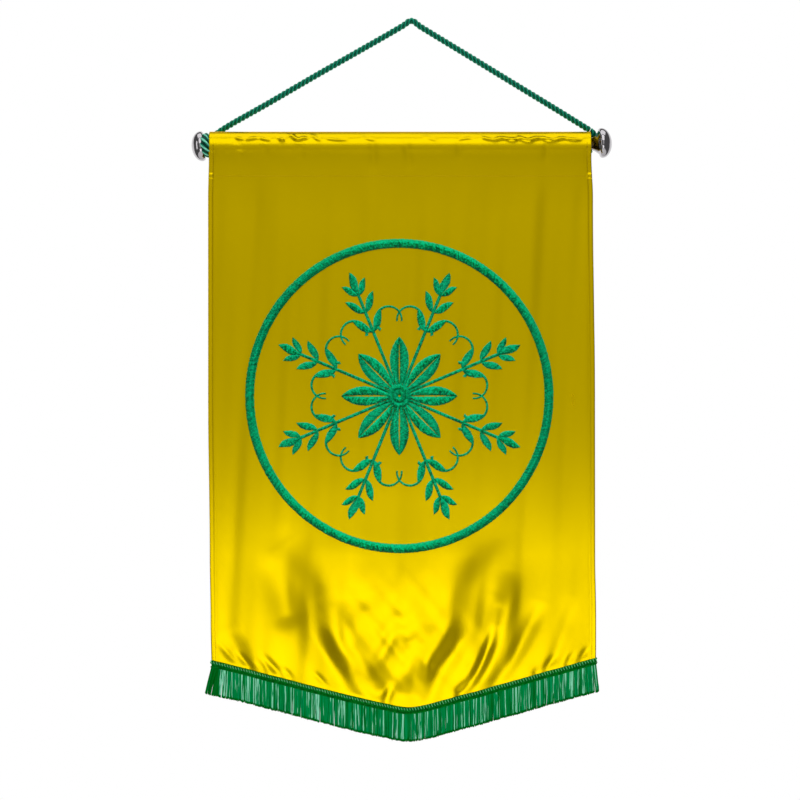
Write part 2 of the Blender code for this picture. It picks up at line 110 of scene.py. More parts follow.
# The sleeve's front is an ellipse, so far out and down from a middle that sags. The cloth leaves it
# at a slope and eases back to the flat.
FRONT_OUT, FRONT_DOWN, FRONT_SAG, LEAVES_AT, LEAVE_DECAY = 13.8, 15.8, 2.4, 0.3045, 16.0
SEAM_DROP, FLAP_DROP = 31.0, 37.0
FOLDS_FROM, HEM, BILLOW, BILLOW_WIDTH = 429.0, 8.0, 6.5, 430.0
TIP_ASIDE, TIP_DROP, TIP_ROUND = 6.1, 585.9, 12.0
SLOPE_LEFT, SLOPE_RIGHT = 0.2525, 0.2766
HEADING_OVER_CLOTH = 6.0
EDGES = np.array(  # drop, left edge, right edge
    (
        (-20.0, -200.4, 197.2),
        (11.0, -200.4, 197.2),
        (58.0, -201.5, 199.2),
        (267.0, -201.5, 201.3),
        (430.0, -199.8, 201.5),
        (495.0, -198.8, 202.4),
        (560.0, -197.5, 202.2),
        (602.0, -197.3, 201.6),
    )
)
# Below the ring the cloth hangs set back between two pleats that run down to the tip: drop, the
# left pleat, the right pleat.
PLEATS = np.array(
    (
        (400, -104, 96),
        (423, -97, 87),
        (434, -97, 79),
        (445, -95, 72),
        (460, -89, 66),
        (476, -84, 60),
        (497, -82, 59),
        (517, -78, 53),
        (533, -69, 40),
        (548, -63, 34),
        (562, -54, 30),
        (577, -42, 20),
        (602, -15, 4),
    )
)
SET_BACK, SET_BACK_MIDDLE, PLEAT_WIDE, PLEAT_WIDE_LOW = 5.5, 0.75, 34.0, 22.0
RIDGE, RIDGE_WIDE, FULLNESS, FULL_WIDE = 2.4, 18.0, 2.3, 95.0
# Each dent is a bow from a start to an end, drawn aside by a pull (x and drop of each), with its
# half width and its depth towards the back; a negative depth is a ridge.
FOLDS = (
    ((144, 476), (134, 512), (98, 563), 8, 1.7),
    ((99, 500), (90, 540), (62, 572), 6, 2.6),
    ((-136, 425), (-132, 455), (-120, 490), 13, 1.4),
    ((-62, 475), (-58, 528), (-24, 570), 10, -2.2),
    ((116, 445), (108, 500), (74, 560), 12, -2.0),
    ((-180, 506), (-172, 531), (-150, 561), 10, 1.6),
    ((176, 470), (172, 520), (150, 552), 8, 1.2),
    ((30, 500), (18, 540), (12, 572), 9, -1.6),
)
PUCKERS = (
    ((-190, 520), (-181, 531), (-171, 543), 3.0, 0.9),
    ((-171, 530), (-163, 539), (-155, 548), 3.0, 0.9),
    ((-150, 538), (-145, 544), (-141, 550), 2.5, 0.7),
    ((-143, 534), (-134, 544), (-124, 556), 4.0, 1.5),
    ((-123, 546), (-118, 551), (-114, 557), 2.5, 0.8),
    ((-91, 550), (-85, 556), (-78, 564), 2.5, 0.8),
    ((194, 525), (190, 531), (185, 538), 3.0, 0.9),
    ((178, 531), (174, 538), (170, 545), 3.0, 0.9),
    ((159, 534), (154, 540), (149, 548), 3.0, 0.8),
    ((141, 546), (140, 550), (138, 554), 3.0, 0.7),
    ((2, 501), (6, 509), (9, 518), 6.5, 1.3),
    ((-4, 478), (1, 486), (6, 494), 7.0, 0.6),
    ((-40, 468), (-38, 476), (-34, 486), 9.0, 0.6),
    ((-10, 565), (-14, 573), (-17, 583), 4.0, 1.4),
    ((2, 501), (-20, 521), (-28, 561), 7.0, 1.2),
    ((96, 470), (92, 490), (84, 520), 9.0, 0.8),
    ((20, 520), (24, 535), (26, 550), 7.0, 1.0),
    ((-30, 500), (-26, 520), (-14, 540), 8.0, 0.8),
    ((100, 485), (93, 521), (72, 567), 5.0, 1.2),
    ((-120, 416), (-100, 441), (-86, 471), 16.0, 1.0),
)
SLEEVE_CREASES = (
    ((-172, -5.6), (-168, -3.6), (-163, -4.6), 1.49, -1.51),
    ((-160, -3.6), (-154, -5.6), (-148, -4.6), 1.49, -1.7),
    ((-147, -5.6), (-141, -2.6), (-136, -3.6), 1.49, -1.51),
    ((-126, -4.6), (-124, -2.6), (-122, -4.6), 1.84, -2.27),
    ((-115, -8.6), (-110, -2.6), (-106, -3.6), 1.61, -2.27),
    ((-106, -3.6), (-101, -6.6), (-97, -3.6), 1.49, -2.08),
    ((-92, -7.6), (-88, -3.6), (-84, -2.6), 1.38, -1.51),
    ((-78, -4.6), (-66, -2.6), (-54, -3.6), 1.26, -1.13),
    ((-40, -6.6), (-34, -2.6), (-26, -3.6), 1.15, -0.94),
    ((24, -7.6), (30, -3.6), (37, -2.6), 1.15, -0.94),
    ((60, -3.6), (68, -5.6), (76, -4.6), 1.15, -1.13),
    ((-172, -1), (-170, 6), (-166, 14), 2.6, 0.4),
    ((-141, -1), (-142, 6), (-141, 14), 2.8, 0.4),
    ((-106, 1), (-105, 8), (-103, 18), 3, 0.4),
    ((-30, -5), (-29, 8), (-30, 30), 4, 0.7),
    ((4, -6), (6, 8), (9, 28), 4, 0.7),
    ((60, -4), (59, 6), (61, 18), 3.4, 0.5),
    ((-171, 3), (-169, 5), (-167, 8), 2.2, -0.55),
    ((-143, 1), (-141, 2), (-139, 4), 2.2, -0.55),
    ((-108, 1), (-106, 2), (-104, 4), 2.2, -0.55),
    ((150, -2), (151, 8), (149, 22), 3.6, 0.5),
    ((84, -5.6), (90, -3.6), (96, -3.2), 1.4, -1.6),
    ((97, -3.2), (103, -5.8), (109, -4.2), 1.6, -2.2),
    ((110, -4.2), (116, -2.4), (122, -4.8), 1.7, -2.4),
    ((122, -5.6), (128, -2.6), (134, -2.8), 1.7, -2.4),
    ((133, -2.6), (139, -5.8), (146, -4.6), 1.7, -2.4),
    ((147, -5.2), (153, -2.4), (159, -3.2), 1.7, -2.4),
    ((160, -3.2), (166, -5.8), (172, -4.2), 1.6, -2.2),
    ((173, -4.4), (180, -2.6), (188, -4), 1.5, -1.7),
)


def smooth(value, start=0.0, over=1.0):
    """0 up to the start, 1 from so far over it, and a soft way between."""
    share = np.clip((value - start) / over, 0.0, 1.0)
    return share * share * (3.0 - 2.0 * share)


def gentle(value, start=0.0, over=1.0):
    """As smooth, but softer at both ends, so that the satin's gloss shows no line there."""
    share = np.clip((value - start) / over, 0.0, 1.0)
    return share**3 * (10.0 - 15.0 * share + 6.0 * share * share)


def edge_x(drop):
    """The cloth's left and right edges at a drop, eased from one row of EDGES to the next."""
    low = np.clip(np.searchsorted(EDGES[:, 0], drop), 1, len(EDGES) - 1)
    above, below = EDGES[low - 1], EDGES[low]
    share = smooth(drop, above[..., 0], below[..., 0] - above[..., 0])
    return tuple(above[..., k] + (below[..., k] - above[..., k]) * share for k in (1, 2))


def heading_top(x):
    """Drop of the fringe heading's top edge: two slopes that meet in a rounded tip."""
    slope = np.where(x < TIP_ASIDE, SLOPE_LEFT, SLOPE_RIGHT)
    return TIP_DROP - slope * (np.hypot(x - TIP_ASIDE, TIP_ROUND) - TIP_ROUND)


def cloth_edge(x):
    """Drop of the cloth's cut edge, under the heading."""
    return heading_top(x) + HEADING_OVER_CLOTH


def hanging_y(drop):
    """The front face from the rod down: round it, a little slack, then easing back to the flat."""
    across = math.sqrt(1.0 - LEAVES_AT**2)
    leave = FRONT_SAG + FRONT_DOWN * LEAVES_AT
    lean = FRONT_OUT * LEAVES_AT / (FRONT_DOWN * across)
    eased = 1.0 - np.exp(-np.maximum(drop - leave, 0.0) / LEAVE_DECAY)
    below = -FRONT_OUT * across + lean * LEAVE_DECAY * eased
    round_rod = -FRONT_OUT * np.sqrt(np.maximum(1.0 - ((drop - FRONT_SAG) / FRONT_DOWN) ** 2, 0.0))
    return np.where(drop <= leave, round_rod, below)


def dents(x, drop, table, fade):
    """Depth of a table of dents; fade gives each one's share along its length."""
    parts = 12
    depth = np.zeros(np.broadcast(x, drop).shape)
    share = np.linspace(0.0, 1.0, parts + 1)[:, None]
    for start, pull, end, half_width, deep in table:
        start, pull, end = (np.array(point) for point in (start, pull, end))
        spine = (1 - share) ** 2 * start + 2 * share * (1 - share) * pull + share**2 * end
        nearest, along = np.full(depth.shape, 1e9), np.zeros(depth.shape)
        for index, (near, far) in enumerate(zip(spine, spine[1:])):
            step = far - near
            part = ((x - near[0]) * step[0] + (drop - near[1]) * step[1]) / step.dot(step)
            part = np.clip(part, 0.0, 1.0)
            away = np.hypot(x - near[0] - part * step[0], drop - near[1] - part * step[1])
            along = np.where(away < nearest, (index + part) / parts, along)
            nearest = np.minimum(nearest, away)
        depth += deep * fade(along) * np.exp(-((nearest / half_width) ** 2))
    return depth


def waves(x, drop, table):
    """Soft waves, only ever pushed back: height, length, start and slant of each."""
    total = 0.0
    for height, length, start, slant in table:
        total = total + height * (1.0 + np.sin(math.tau * (x / length + drop / slant) + start))
    return total


UPRIGHT_WAVES = ((0.30, 83, 0.4, 900), (0.22, 51, 2.1, -700), (0.16, 34, 4.0, 520), (0.08, 19, 1.0, 310))
CRUMPLES = (  # height, length, start, slant
    (0.20, 46, 0.3, 39),
    (0.18, -37, 2.0, 43),
    (0.15, 29, 4.1, -34),
    (0.13, -25, 1.2, 27),
    (0.09, 18, 5.0, 30),
    (0.07, -15, 3.3, 19),
)
CRUMPLED_DROP, CRUMPLED_WIDE, CRUMPLED_TALL = 528.0, 62.0, 52.0


def set_back(x, drop):
    """How far the cloth between the pleats hangs back, and the ridges outside them come out."""
    rounded = (-12, -6, 0, 6, 12)
    left, right = (
        sum(np.interp(drop + off, PLEATS[:, 0], PLEATS[:, side]) for off in rounded) / len(rounded)
        for side in (1, 2)
    )
    wide = PLEAT_WIDE - (PLEAT_WIDE - PLEAT_WIDE_LOW) * gentle(drop, 430.0, 130.0)
    between = gentle((x - left) / wide / 1.25 + 0.5) * gentle((right - x) / wide / 1.25 + 0.5)
    middle = 1.0 - (1.0 - SET_BACK_MIDDLE) * gentle(np.minimum(x - left, right - x), 6.0, 60.0)
    back = SET_BACK * between * middle * gentle(drop, 405.0, 135.0)
    ridges = sum(np.exp(-(((x - at) / RIDGE_WIDE) ** 2)) for at in (left - 6.0, right + 6.0))
    near_hem = 0.45 + 0.55 * gentle(cloth_edge(x) - HEM - drop, 0.0, 44.0)
    swells = gentle(drop, 365.0, 125.0) * (1 - gentle(drop, 480.0, 100.0))
    full = FULLNESS * np.exp(-((x / FULL_WIDE) ** 2)) * swells
    return near_hem * (back - RIDGE * ridges * gentle(drop, 400.0, 66.0)) - full


def sleeve_creases(x, drop):
    """The small dents and ridges where the sleeve is gathered on the rod."""
    return dents(x, drop, SLEEVE_CREASES, lambda along: np.sin(math.pi * (0.2 + 0.78 * along)) ** 0.8)


def front_y(x, drop):
    """The panel's front face. The hem strip hangs straight, so the fringe lies true on it."""
    drop = np.minimum(drop, cloth_edge(x) - HEM)
    lower = smooth(drop, FOLDS_FROM, 130.0)
    billow = BILLOW * lower * (0.15 + 0.85 * np.cos(math.pi * x / BILLOW_WIDTH))
    folds = dents(x, drop, FOLDS, lambda along: smooth(0.15 + along / 0.4))
    folds = folds * gentle(drop, 408.0, 70.0)
    fine = dents(x, drop, PUCKERS, lambda along: np.sin(math.pi * (0.12 + 0.76 * along)))
    crumpled = np.exp(-((x / CRUMPLED_WIDE) ** 2) - ((drop - CRUMPLED_DROP) / CRUMPLED_TALL) ** 2)
    soft = waves(x, drop, UPRIGHT_WAVES) * smooth(drop, 12.0, 60.0) + waves(x, drop, CRUMPLES) * crumpled
    return hanging_y(drop) - billow + set_back(x, drop) + folds + fine + sleeve_creases(x, drop) + soft


def to_world(x, y, drop):
    """Metres in the row frame from mm on the banner."""
    return (np.stack(np.broadcast_arrays(x, y, -drop), axis=-1) + ROD_MIDDLE) * MM


def placed(name, data):
    """An object at the origin that holds this data."""
    made = bpy.data.objects.new(name, data)
    bpy.context.scene.collection.objects.link(made)
    return made


def mesh_object(name, points, faces, material, smooth_angle=None):
    """An object at the origin from points in metres; past smooth_angle degrees an edge is sharp."""
    mesh = bpy.data.meshes.new(name)
    mesh.from_pydata([tuple(p) for p in points], [], faces)
    mesh.shade_smooth()
    if smooth_angle is not None:
        mesh.set_sharp_from_angle(angle=math.radians(smooth_angle))
    mesh.materials.append(material)
    return placed(name, mesh)


def grid_faces(rows, columns, around=False):
    """Quads over rows of points; around closes each row on itself."""
    faces = []
    for row in range(rows - 1):
        for column in range(columns if around else columns - 1):
            after = (column + 1) % columns
            corners = (row, column), (row + 1, column), (row + 1, after), (row, after)
            faces.append([r * columns + c for r, c in corners])
    return faces


# The columns stand close over each rolled hem, and even between them.
ABOUT_WIDE, HEM_WIDTH = 400.0, 5.2
hem_columns = np.array((0.0, 1.1, 2.4, 3.7, 4.6, HEM_WIDTH, 6.4)) / ABOUT_WIDE
even_columns = np.linspace(8.2 / ABOUT_WIDE, 1 - 8.2 / ABOUT_WIDE, 182)
shares = np.concatenate((hem_columns, even_columns, 1 - hem_columns[::-1]))

# The strip's path over the rod: y, drop and the outward normal's two parts, then how far in
# the sleeve's right mouth is drawn.
MOUTH_DRAWN_IN = 6.0
flap_y = float(hanging_y(np.array(SEAM_DROP))) + 2 * HALF_CLOTH
reach = math.hypot(flap_y, SEAM_DROP)
leaves = math.pi / 2 + math.asin(SLEEVE / reach) - math.atan2(flap_y, SEAM_DROP)
path = []
for drop in (FLAP_DROP, 35.0, 33.0):
    path.append((float(hanging_y(np.array(drop))) + 2 * HALF_CLOTH, drop, 1.0, 0.0, 0.0))
tangent = np.array((SLEEVE * math.sin(leaves), SLEEVE * math.cos(leaves)))
for step in range(8):
    share = step / 8
    y = flap_y + (tangent[0] - flap_y) * share
    drop = SEAM_DROP + (-tangent[1] - SEAM_DROP) * share
    path.append((y, drop, math.sin(leaves), -math.cos(leaves), MOUTH_DRAWN_IN * share))
for turn in np.linspace(leaves, 0.0, 24)[:-1]:
    drawn = MOUTH_DRAWN_IN * math.sin(min(turn, math.pi / 2))
    path.append((SLEEVE * math.sin(turn), -SLEEVE * math.cos(turn), math.sin(turn), -math.cos(turn), drawn))
for turn in np.linspace(0.0, math.acos(FRONT_SAG / FRONT_DOWN), 26)[:-1]:
    y, drop = -FRONT_OUT * math.sin(turn), FRONT_SAG - FRONT_DOWN * math.cos(turn)
    out, up = -FRONT_DOWN * math.sin(turn), -FRONT_OUT * math.cos(turn)
    path.append((y, drop, out / math.hypot(out, up), up / math.hypot(out, up), 0.0))
path = np.array(path)[:, None, :]
left, right = edge_x(path[..., 1])
over_x = left + (right - path[..., 4] - left) * shares[None, :]
over_depth = sleeve_creases(over_x, path[..., 1] + 0 * over_x) * (path[..., 0] < 0)
over = (over_x, path[..., 0] - path[..., 2] * over_depth, path[..., 1] - path[..., 3] * over_depth)

# Rows stand closer under the sleeve and in the folds: the share of the drop that each run ends at.
runs = ((0.0, 0.1, 30), (0.1, 0.72, 66), (0.72, 1.0, 84))
rows_down = np.unique(np.concatenate([np.linspace(*run) for run in runs]))
LOW_LEFT, LOW_WIDTH = -197.4, 399.4
low = cloth_edge(LOW_LEFT + LOW_WIDTH * shares)
hang_drop = rows_down[:, None] * low[None, :]
left, right = edge_x(hang_drop)
hang_x = left + (right - left) * shares[None, :]
hang = (hang_x, front_y(hang_x, hang_drop), hang_drop)

x, y, drop = (np.concatenate((a + 0 * over_x, b), axis=0) for a, b in zip(over, hang))
from_edge = np.minimum(shares, 1 - shares) * ABOUT_WIDE
stitched_down = 0.12 * np.exp(-(((from_edge - HEM_WIDTH) / 0.7) ** 2))
rolled = 0.30 * smooth(HEM_WIDTH - from_edge, 0.0, 0.8) - stitched_down
facing_back = np.concatenate((np.where(path[:, 0, 0] > 0, 1.0, -1.0), -np.ones(len(rows_down))))
y = y + facing_back[:, None] * rolled[None, :]


def bumped(tree, shader, height, distance):
    """Bump from one height socket, over a distance in metres."""
    bump = add(tree, "ShaderNodeBump", {"Height": height, "Distance": distance})
    tree.links.new(bump.outputs["Normal"], shader.inputs["Normal"])


satin, tree, shader = new_material(
    "gold satin", Base_Color=(0.90, 0.643, 0.0, 1), Metallic=0.85, Specular_Tint=(1.0, 0.72, 0.0, 1),
    Anisotropic=0.35,
)
weave_uv = add(tree, "ShaderNodeUVMap", uv_map="cloth").outputs["UV"]
grain = add(tree, "ShaderNodeTangent", direction_type="UV_MAP", uv_map="cloth").outputs["Tangent"]
tree.links.new(grain, shader.inputs["Tangent"])
roughened(tree, shader, noise(tree, weave_uv, 3.0, stretch=(30.0, 9.0, 1.0)), 0.24, 0.36)
bumped(tree, shader, noise(tree, weave_uv, stretch=(3200.0, 420.0, 1.0)), 0.03 * MM)

rows, columns = x.shape
panel = mesh_object("satin_panel", to_world(x, y, drop).reshape(-1, 3), grid_faces(rows, columns), satin)
steps = np.hypot(np.diff(y[:, columns // 2]), np.diff(drop[:, columns // 2]))
walked = np.concatenate(((0.0,), np.cumsum(steps))) * MM
uv = panel.data.uv_layers.new(name="cloth")
corners = np.empty(len(panel.data.loops), dtype=np.int32)
panel.data.loops.foreach_get("vertex_index", corners)
across_and_down = np.stack((x.reshape(-1)[corners] * MM, walked[corners // columns]), axis=1)
uv.uv.foreach_set("vector", across_and_down.reshape(-1))
hems = panel.vertex_groups.new(name="hem")
for column in np.nonzero(from_edge < HEM_WIDTH - 0.1)[0]:
    hems.add([row * columns + int(column) for row in range(rows)], 1.0, "REPLACE")
body = panel.modifiers.new("cloth", "SOLIDIFY")
body.thickness = 2 * HALF_CLOTH * MM
body.offset = -1.0
body.vertex_group = "hem"
body.thickness_vertex_group = 0.5
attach(panel, "root")
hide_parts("panel")


# Seams
# Polyester thread in the satin's colour: one lockstitched row closes the sleeve through both
# plies, and one runs down inside each side hem.

FRONT = (0.0, -1.0, 0.0)


def lines_mesh(name, lines):
    """Line mesh for the thread trees: each line gives points and per-point half, across, lift."""
    points, edges, half, across, lift = [], [], [], [], []
    for line in lines:
        first, count = len(points), len(line["points"])
        points += [tuple(p) for p in line["points"]]
        edges += [(first + k, first + k + 1) for k in range(count - 1)]
        if line.get("closed"):
            edges.append((first + count - 1, first))
        half += list(np.broadcast_to(line["half"], count) * MM)
        lift += list(np.broadcast_to(line["lift"], count))
        across += list(np.broadcast_to(line["across"], (count, 3)).reshape(-1))
    mesh = bpy.data.meshes.new(name)
    mesh.from_pydata(points, edges, [])
    for key, kind, part, values in (
        ("half", "FLOAT", "value", half),
        ("lift", "FLOAT", "value", lift),
        ("across", "FLOAT_VECTOR", "vector", across),
    ):
        mesh.attributes.new(key, kind, "POINT").data.foreach_set(part, values)
    return placed(name, mesh)


def new_tree(name, inputs):
    """A geometry tree with its group input and output; inputs are (name, type, value)."""
    tree = bpy.data.node_groups.new(name, "GeometryNodeTree")
    tree.interface.new_socket("Geometry", in_out="INPUT", socket_type="NodeSocketGeometry")
    for label, kind, value in inputs:
        socket = tree.interface.new_socket(label, in_out="INPUT", socket_type="NodeSocket" + kind)
        if value is not None:
            socket.default_value = value
    tree.interface.new_socket("Geometry", in_out="OUTPUT", socket_type="NodeSocketGeometry")
    return tree, tree.nodes.new("NodeGroupInput").outputs, tree.nodes.new("NodeGroupOutput").inputs


def named(tree, label, kind="FLOAT"):
    """A value kept on the geometry under a label."""
    return add(tree, "GeometryNodeInputNamedAttribute", {"Name": label}, data_type=kind).outputs["Attribute"]


def stored(tree, geometry, label, value, domain="POINT"):
    """The geometry with a number kept on it under a label."""
    kept = {"Geometry": geometry, "Name": label, "Value": value}
    return add(
        tree, "GeometryNodeStoreNamedAttribute", kept, data_type="FLOAT", domain=domain
    ).outputs["Geometry"]


def reckoned(tree, operation, *values):
    """The result of a Math node on numbers and sockets."""
    return add(tree, "ShaderNodeMath", dict(enumerate(values)), operation=operation).outputs[0]


def random_number(tree, seed, least=0.0, most=1.0):
    """A random number for each instance."""
    between = {"Min": least, "Max": most, "Seed": seed}
    return add(tree, "FunctionNodeRandomValue", between, data_type="FLOAT").outputs["Value"]


def own_place(tree):
    """The x, y and z of each point."""
    return add(tree, "ShaderNodeSeparateXYZ", {0: add(tree, "GeometryNodeInputPosition").outputs[0]}).outputs


def seven_points(tree, start, offset):
    """A line mesh of seven points, from which one thread is bent."""
    run = {"Count": 7, "Start Location": start, "Offset": offset}
    return add(tree, "GeometryNodeMeshLine", run).outputs["Mesh"]


def round_thread(tree, line, radius):
    """A closed round thread along a line mesh."""
    spine = add(tree, "GeometryNodeMeshToCurve", {"Mesh": line}).outputs["Curve"]
    section = add(tree, "GeometryNodeCurvePrimitiveCircle", {"Resolution": 5, "Radius": radius})
    swept = {"Curve": spine, "Profile Curve": section.outputs["Curve"], "Fill Caps": True}
    return add(tree, "GeometryNodeCurveToMesh", swept).outputs["Mesh"]


def on_each_point(tree, points, thread, turn, size, seed):
    """The thread on each point, turned and sized there, with a random tone of its own."""
    copies = {"Points": points, "Instance": thread, "Rotation": turn, "Scale": size}
    laid = add(tree, "GeometryNodeInstanceOnPoints", copies).outputs["Instances"]
    toned = stored(tree, laid, "tone", random_number(tree, seed), "INSTANCE")
    return add(tree, "GeometryNodeRealizeInstances", {"Geometry": toned}).outputs["Geometry"]


def end_tree(tree, geometry, material, result):
    """Smooth faces and their material, out of the tree."""
    smoothed = add(tree, "GeometryNodeSetShadeSmooth", {"Geometry": geometry}).outputs["Geometry"]
    painted = add(tree, "GeometryNodeSetMaterial", {"Geometry": smoothed, "Material": material})
    tree.links.new(painted.outputs["Geometry"], result["Geometry"])


def laid_threads_tree():
    """One arched thread laid across each line at an even spacing. The line's own attributes say how
    wide, how high and how turned it is."""
    tree, given, result = new_tree(
        "laid threads",
        (
            ("Spacing", "Float", 0.8 * MM),
            ("Thread Radius", "Float", 0.4 * MM),
            ("Unevenness", "Float", 0.1),
            ("Seed", "Int", 1),
            ("Thread", "Material", None),
        ),
    )
    run = seven_points(tree, (-1, 0, 0), (1 / 3, 0, 0))
    x = own_place(tree)["X"]
    arch = reckoned(tree, "MULTIPLY_ADD", reckoned(tree, "MULTIPLY", x, x), -MM, MM)
    rise = add(tree, "ShaderNodeCombineXYZ", {"Z": arch})
    bent = add(tree, "GeometryNodeSetPosition", {"Geometry": run, "Offset": rise.outputs[0]})
    thread = round_thread(tree, bent.outputs["Geometry"], given["Thread Radius"])
    curves = add(tree, "GeometryNodeMeshToCurve", {"Mesh": given["Geometry"]}).outputs["Curve"]
    spaced = add(
        tree, "GeometryNodeResampleCurve", {"Curve": curves, "Length": given["Spacing"]}, mode="LENGTH"
    )
    turned = add(
        tree,
        "FunctionNodeAxesToRotation",
        {"Primary Axis": FRONT, "Secondary Axis": named(tree, "across", "FLOAT_VECTOR")},
        primary_axis="Z",
        secondary_axis="X",
    )
    spread = given["Unevenness"]
    uneven = random_number(tree, given["Seed"], reckoned(tree, "MULTIPLY", spread, -1.0), spread)
    wide = reckoned(tree, "MULTIPLY", named(tree, "half"), reckoned(tree, "ADD", uneven, 1.0))
    size = add(tree, "ShaderNodeCombineXYZ", {"X": wide, "Y": 1.0, "Z": named(tree, "lift")})
    laid = on_each_point(
        tree, spaced.outputs["Curve"], thread, turned.outputs[0], size.outputs[0], given["Seed"]
    )
    # Each thread keeps how far it faces up. The green rayon uses it to paint light on threads that face up
    # and shade on those that face down.
    facing = add(tree, "ShaderNodeSeparateXYZ", {0: add(tree, "GeometryNodeInputNormal").outputs["Normal"]})
    end_tree(tree, stored(tree, laid, "upward_for_painted_light", facing.outputs["Z"]), given["Thread"], result)
    return tree


def grown(holder, name, tree, material, **values):
    """The tree's plain mesh from a holder object; the holder and its modifier are gone after."""
    grower = holder.modifiers.new("threads", "NODES")
    grower.node_group = tree
    sockets = {s.name: s.identifier for s in tree.interface.items_tree if s.in_out == "INPUT"}
    for label, value in values.items():
        grower[sockets[label.replace("_", " ")]] = value
    grower[sockets["Thread"]] = material
    holder.update_tag()
    depsgraph = bpy.context.evaluated_depsgraph_get()
    mesh = bpy.data.meshes.new_from_object(holder.evaluated_get(depsgraph), depsgraph=depsgraph)
    mesh.name = name
    bpy.data.objects.remove(holder, do_unlink=True)
    return placed(name, mesh)


def on_cloth(x, drop, off=0.0):
    """Points on the panel's front, or off mm in front of it."""
    return to_world(x, front_y(x, drop) - off, drop)


laid_threads = laid_threads_tree()
sewing_thread, tree, shader = new_material(
    "gold sewing thread", Base_Color=(0.78, 0.53, 0.0, 1), Metallic=0.5, Roughness=0.4
)
HALF_STITCH, STITCH_LIFT, SEW_DROP, SEW_INSIDE = 1.15, 0.3, 34.0, 4.2
seam_x = np.linspace(-194.0, 191.0, 257)
seam_points = on_cloth(seam_x, 0 * seam_x + SEW_DROP, 0.05)
lines = [dict(points=seam_points, half=HALF_STITCH, across=(1, 0, 0), lift=STITCH_LIFT)]
hem_drop = np.linspace(3.0, 545.0, 300)
for side, inwards in ((0, SEW_INSIDE), (1, -SEW_INSIDE)):
    hem_points = on_cloth(edge_x(hem_drop)[side] + inwards, hem_drop, 0.35)
    lines.append(dict(points=hem_points, half=HALF_STITCH, across=(0, 0, 1), lift=STITCH_LIFT))
seams = grown(
    lines_mesh("seam lines", lines), "seam_stitches", laid_threads, sewing_thread,
    Spacing=2.7 * MM, Thread_Radius=0.16 * MM, Unevenness=0.05, Seed=3,
)
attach(seams, "root")


# Embroidered ring
# Glossy rayon thread satin-stitched across a padded band, 9 mm wide, that runs round the
# rosette. The padding is sewn down first and the top threads cover it.

EMBLEM_ASIDE, EMBLEM_DROP, EMBLEM_STRETCH = -2.4, 262.9, 1.02
RING_RADIUS, RING_WIDTH, RING_HEIGHT = 160.4, 9.2, 2.8


def emblem_line(x, z, half, slant, lift, closed=False):
    """A line of the emblem from its own middle, its threads slanted off square by slant."""
    ahead = np.stack((np.gradient(x), np.gradient(z)), axis=1)
    if closed:
        ahead = np.stack((np.roll(x, -1) - np.roll(x, 1), np.roll(z, -1) - np.roll(z, 1)), axis=1)
    turn = np.arctan2(ahead[:, 1], ahead[:, 0]) + math.pi / 2 + slant
    across = np.stack((np.cos(turn), 0 * turn, np.sin(turn)), axis=1)
    points = on_cloth(x + EMBLEM_ASIDE, EMBLEM_DROP - z * EMBLEM_STRETCH)
    return dict(points=points, half=half / math.cos(slant), across=across, lift=lift, closed=closed)


PADDING_SHARE = 0.86
PADDING_SECTION = ((-0.93, -0.05), (-0.62, 0.82), (0.0, 1.0), (0.62, 0.82), (0.93, -0.05))


def padding(name, lines, material):
    """Low closed padding under each line's threads, a little narrower and lower than they reach."""
    points, faces, sides = [], [], len(PADDING_SECTION)
    for line in lines:
        first, count = len(points), len(line["points"])
        half = np.broadcast_to(line["half"], count)[:, None] * MM
        across = np.broadcast_to(line["across"], (count, 3))
        rise = np.array(FRONT) * np.broadcast_to(line["lift"], count)[:, None] * PADDING_SHARE * MM
        for side, up in PADDING_SECTION:
            points += [tuple(p) for p in line["points"] + across * half * side + rise * up]
        rings = count if line.get("closed") else count - 1
        for k in range(rings):
            after = (k + 1) % count
            for one in range(sides):
                other = (one + 1) % sides
                corners = (one * count + k, one * count + after, other * count + after, other * count + k)
                faces.append([first + c for c in corners])
        if not line.get("closed"):
            faces.append([first + one * count for one in range(sides)])
            faces.append([first + one * count + count - 1 for one in reversed(range(sides))])
    made = mesh_object(name, points, faces, material, smooth_angle=50)
    whole = bmesh.new()
    whole.from_mesh(made.data)
    bmesh.ops.recalc_face_normals(whole, faces=whole.faces)
    whole.to_mesh(made.data)
    whole.free()
    return made


def joined(name, *parts):
    """One object from several meshes."""
    with bpy.context.temp_override(active_object=parts[0], selected_editable_objects=list(parts)):
        bpy.ops.object.join()
    parts[0].name = name
    return parts[0]


def own(tree, label):
    """A number kept on the piece's own mesh under a label."""
    return add(tree, "ShaderNodeAttribute", attribute_name=label).outputs["Fac"]


def coloured(tree, shader, socket, *stops):
    """Base colour from a socket, through colours at their positions. A new ramp already has two."""
    ramp = add(tree, "ShaderNodeValToRGB", {"Fac": socket})
    shades = ramp.color_ramp.elements
    for index, (position, colour) in enumerate(stops):
        shade = shades[index] if index < len(shades) else shades.new(position)
        shade.position, shade.color = position, (*colour, 1.0)
    tree.links.new(ramp.outputs["Color"], shader.inputs["Base Color"])


rayon, tree, shader = new_material(
    "green rayon thread", Metallic=0.2, Roughness=0.30, IOR=2.3, Specular_Tint=(0.05, 1.0, 0.72, 1)
)
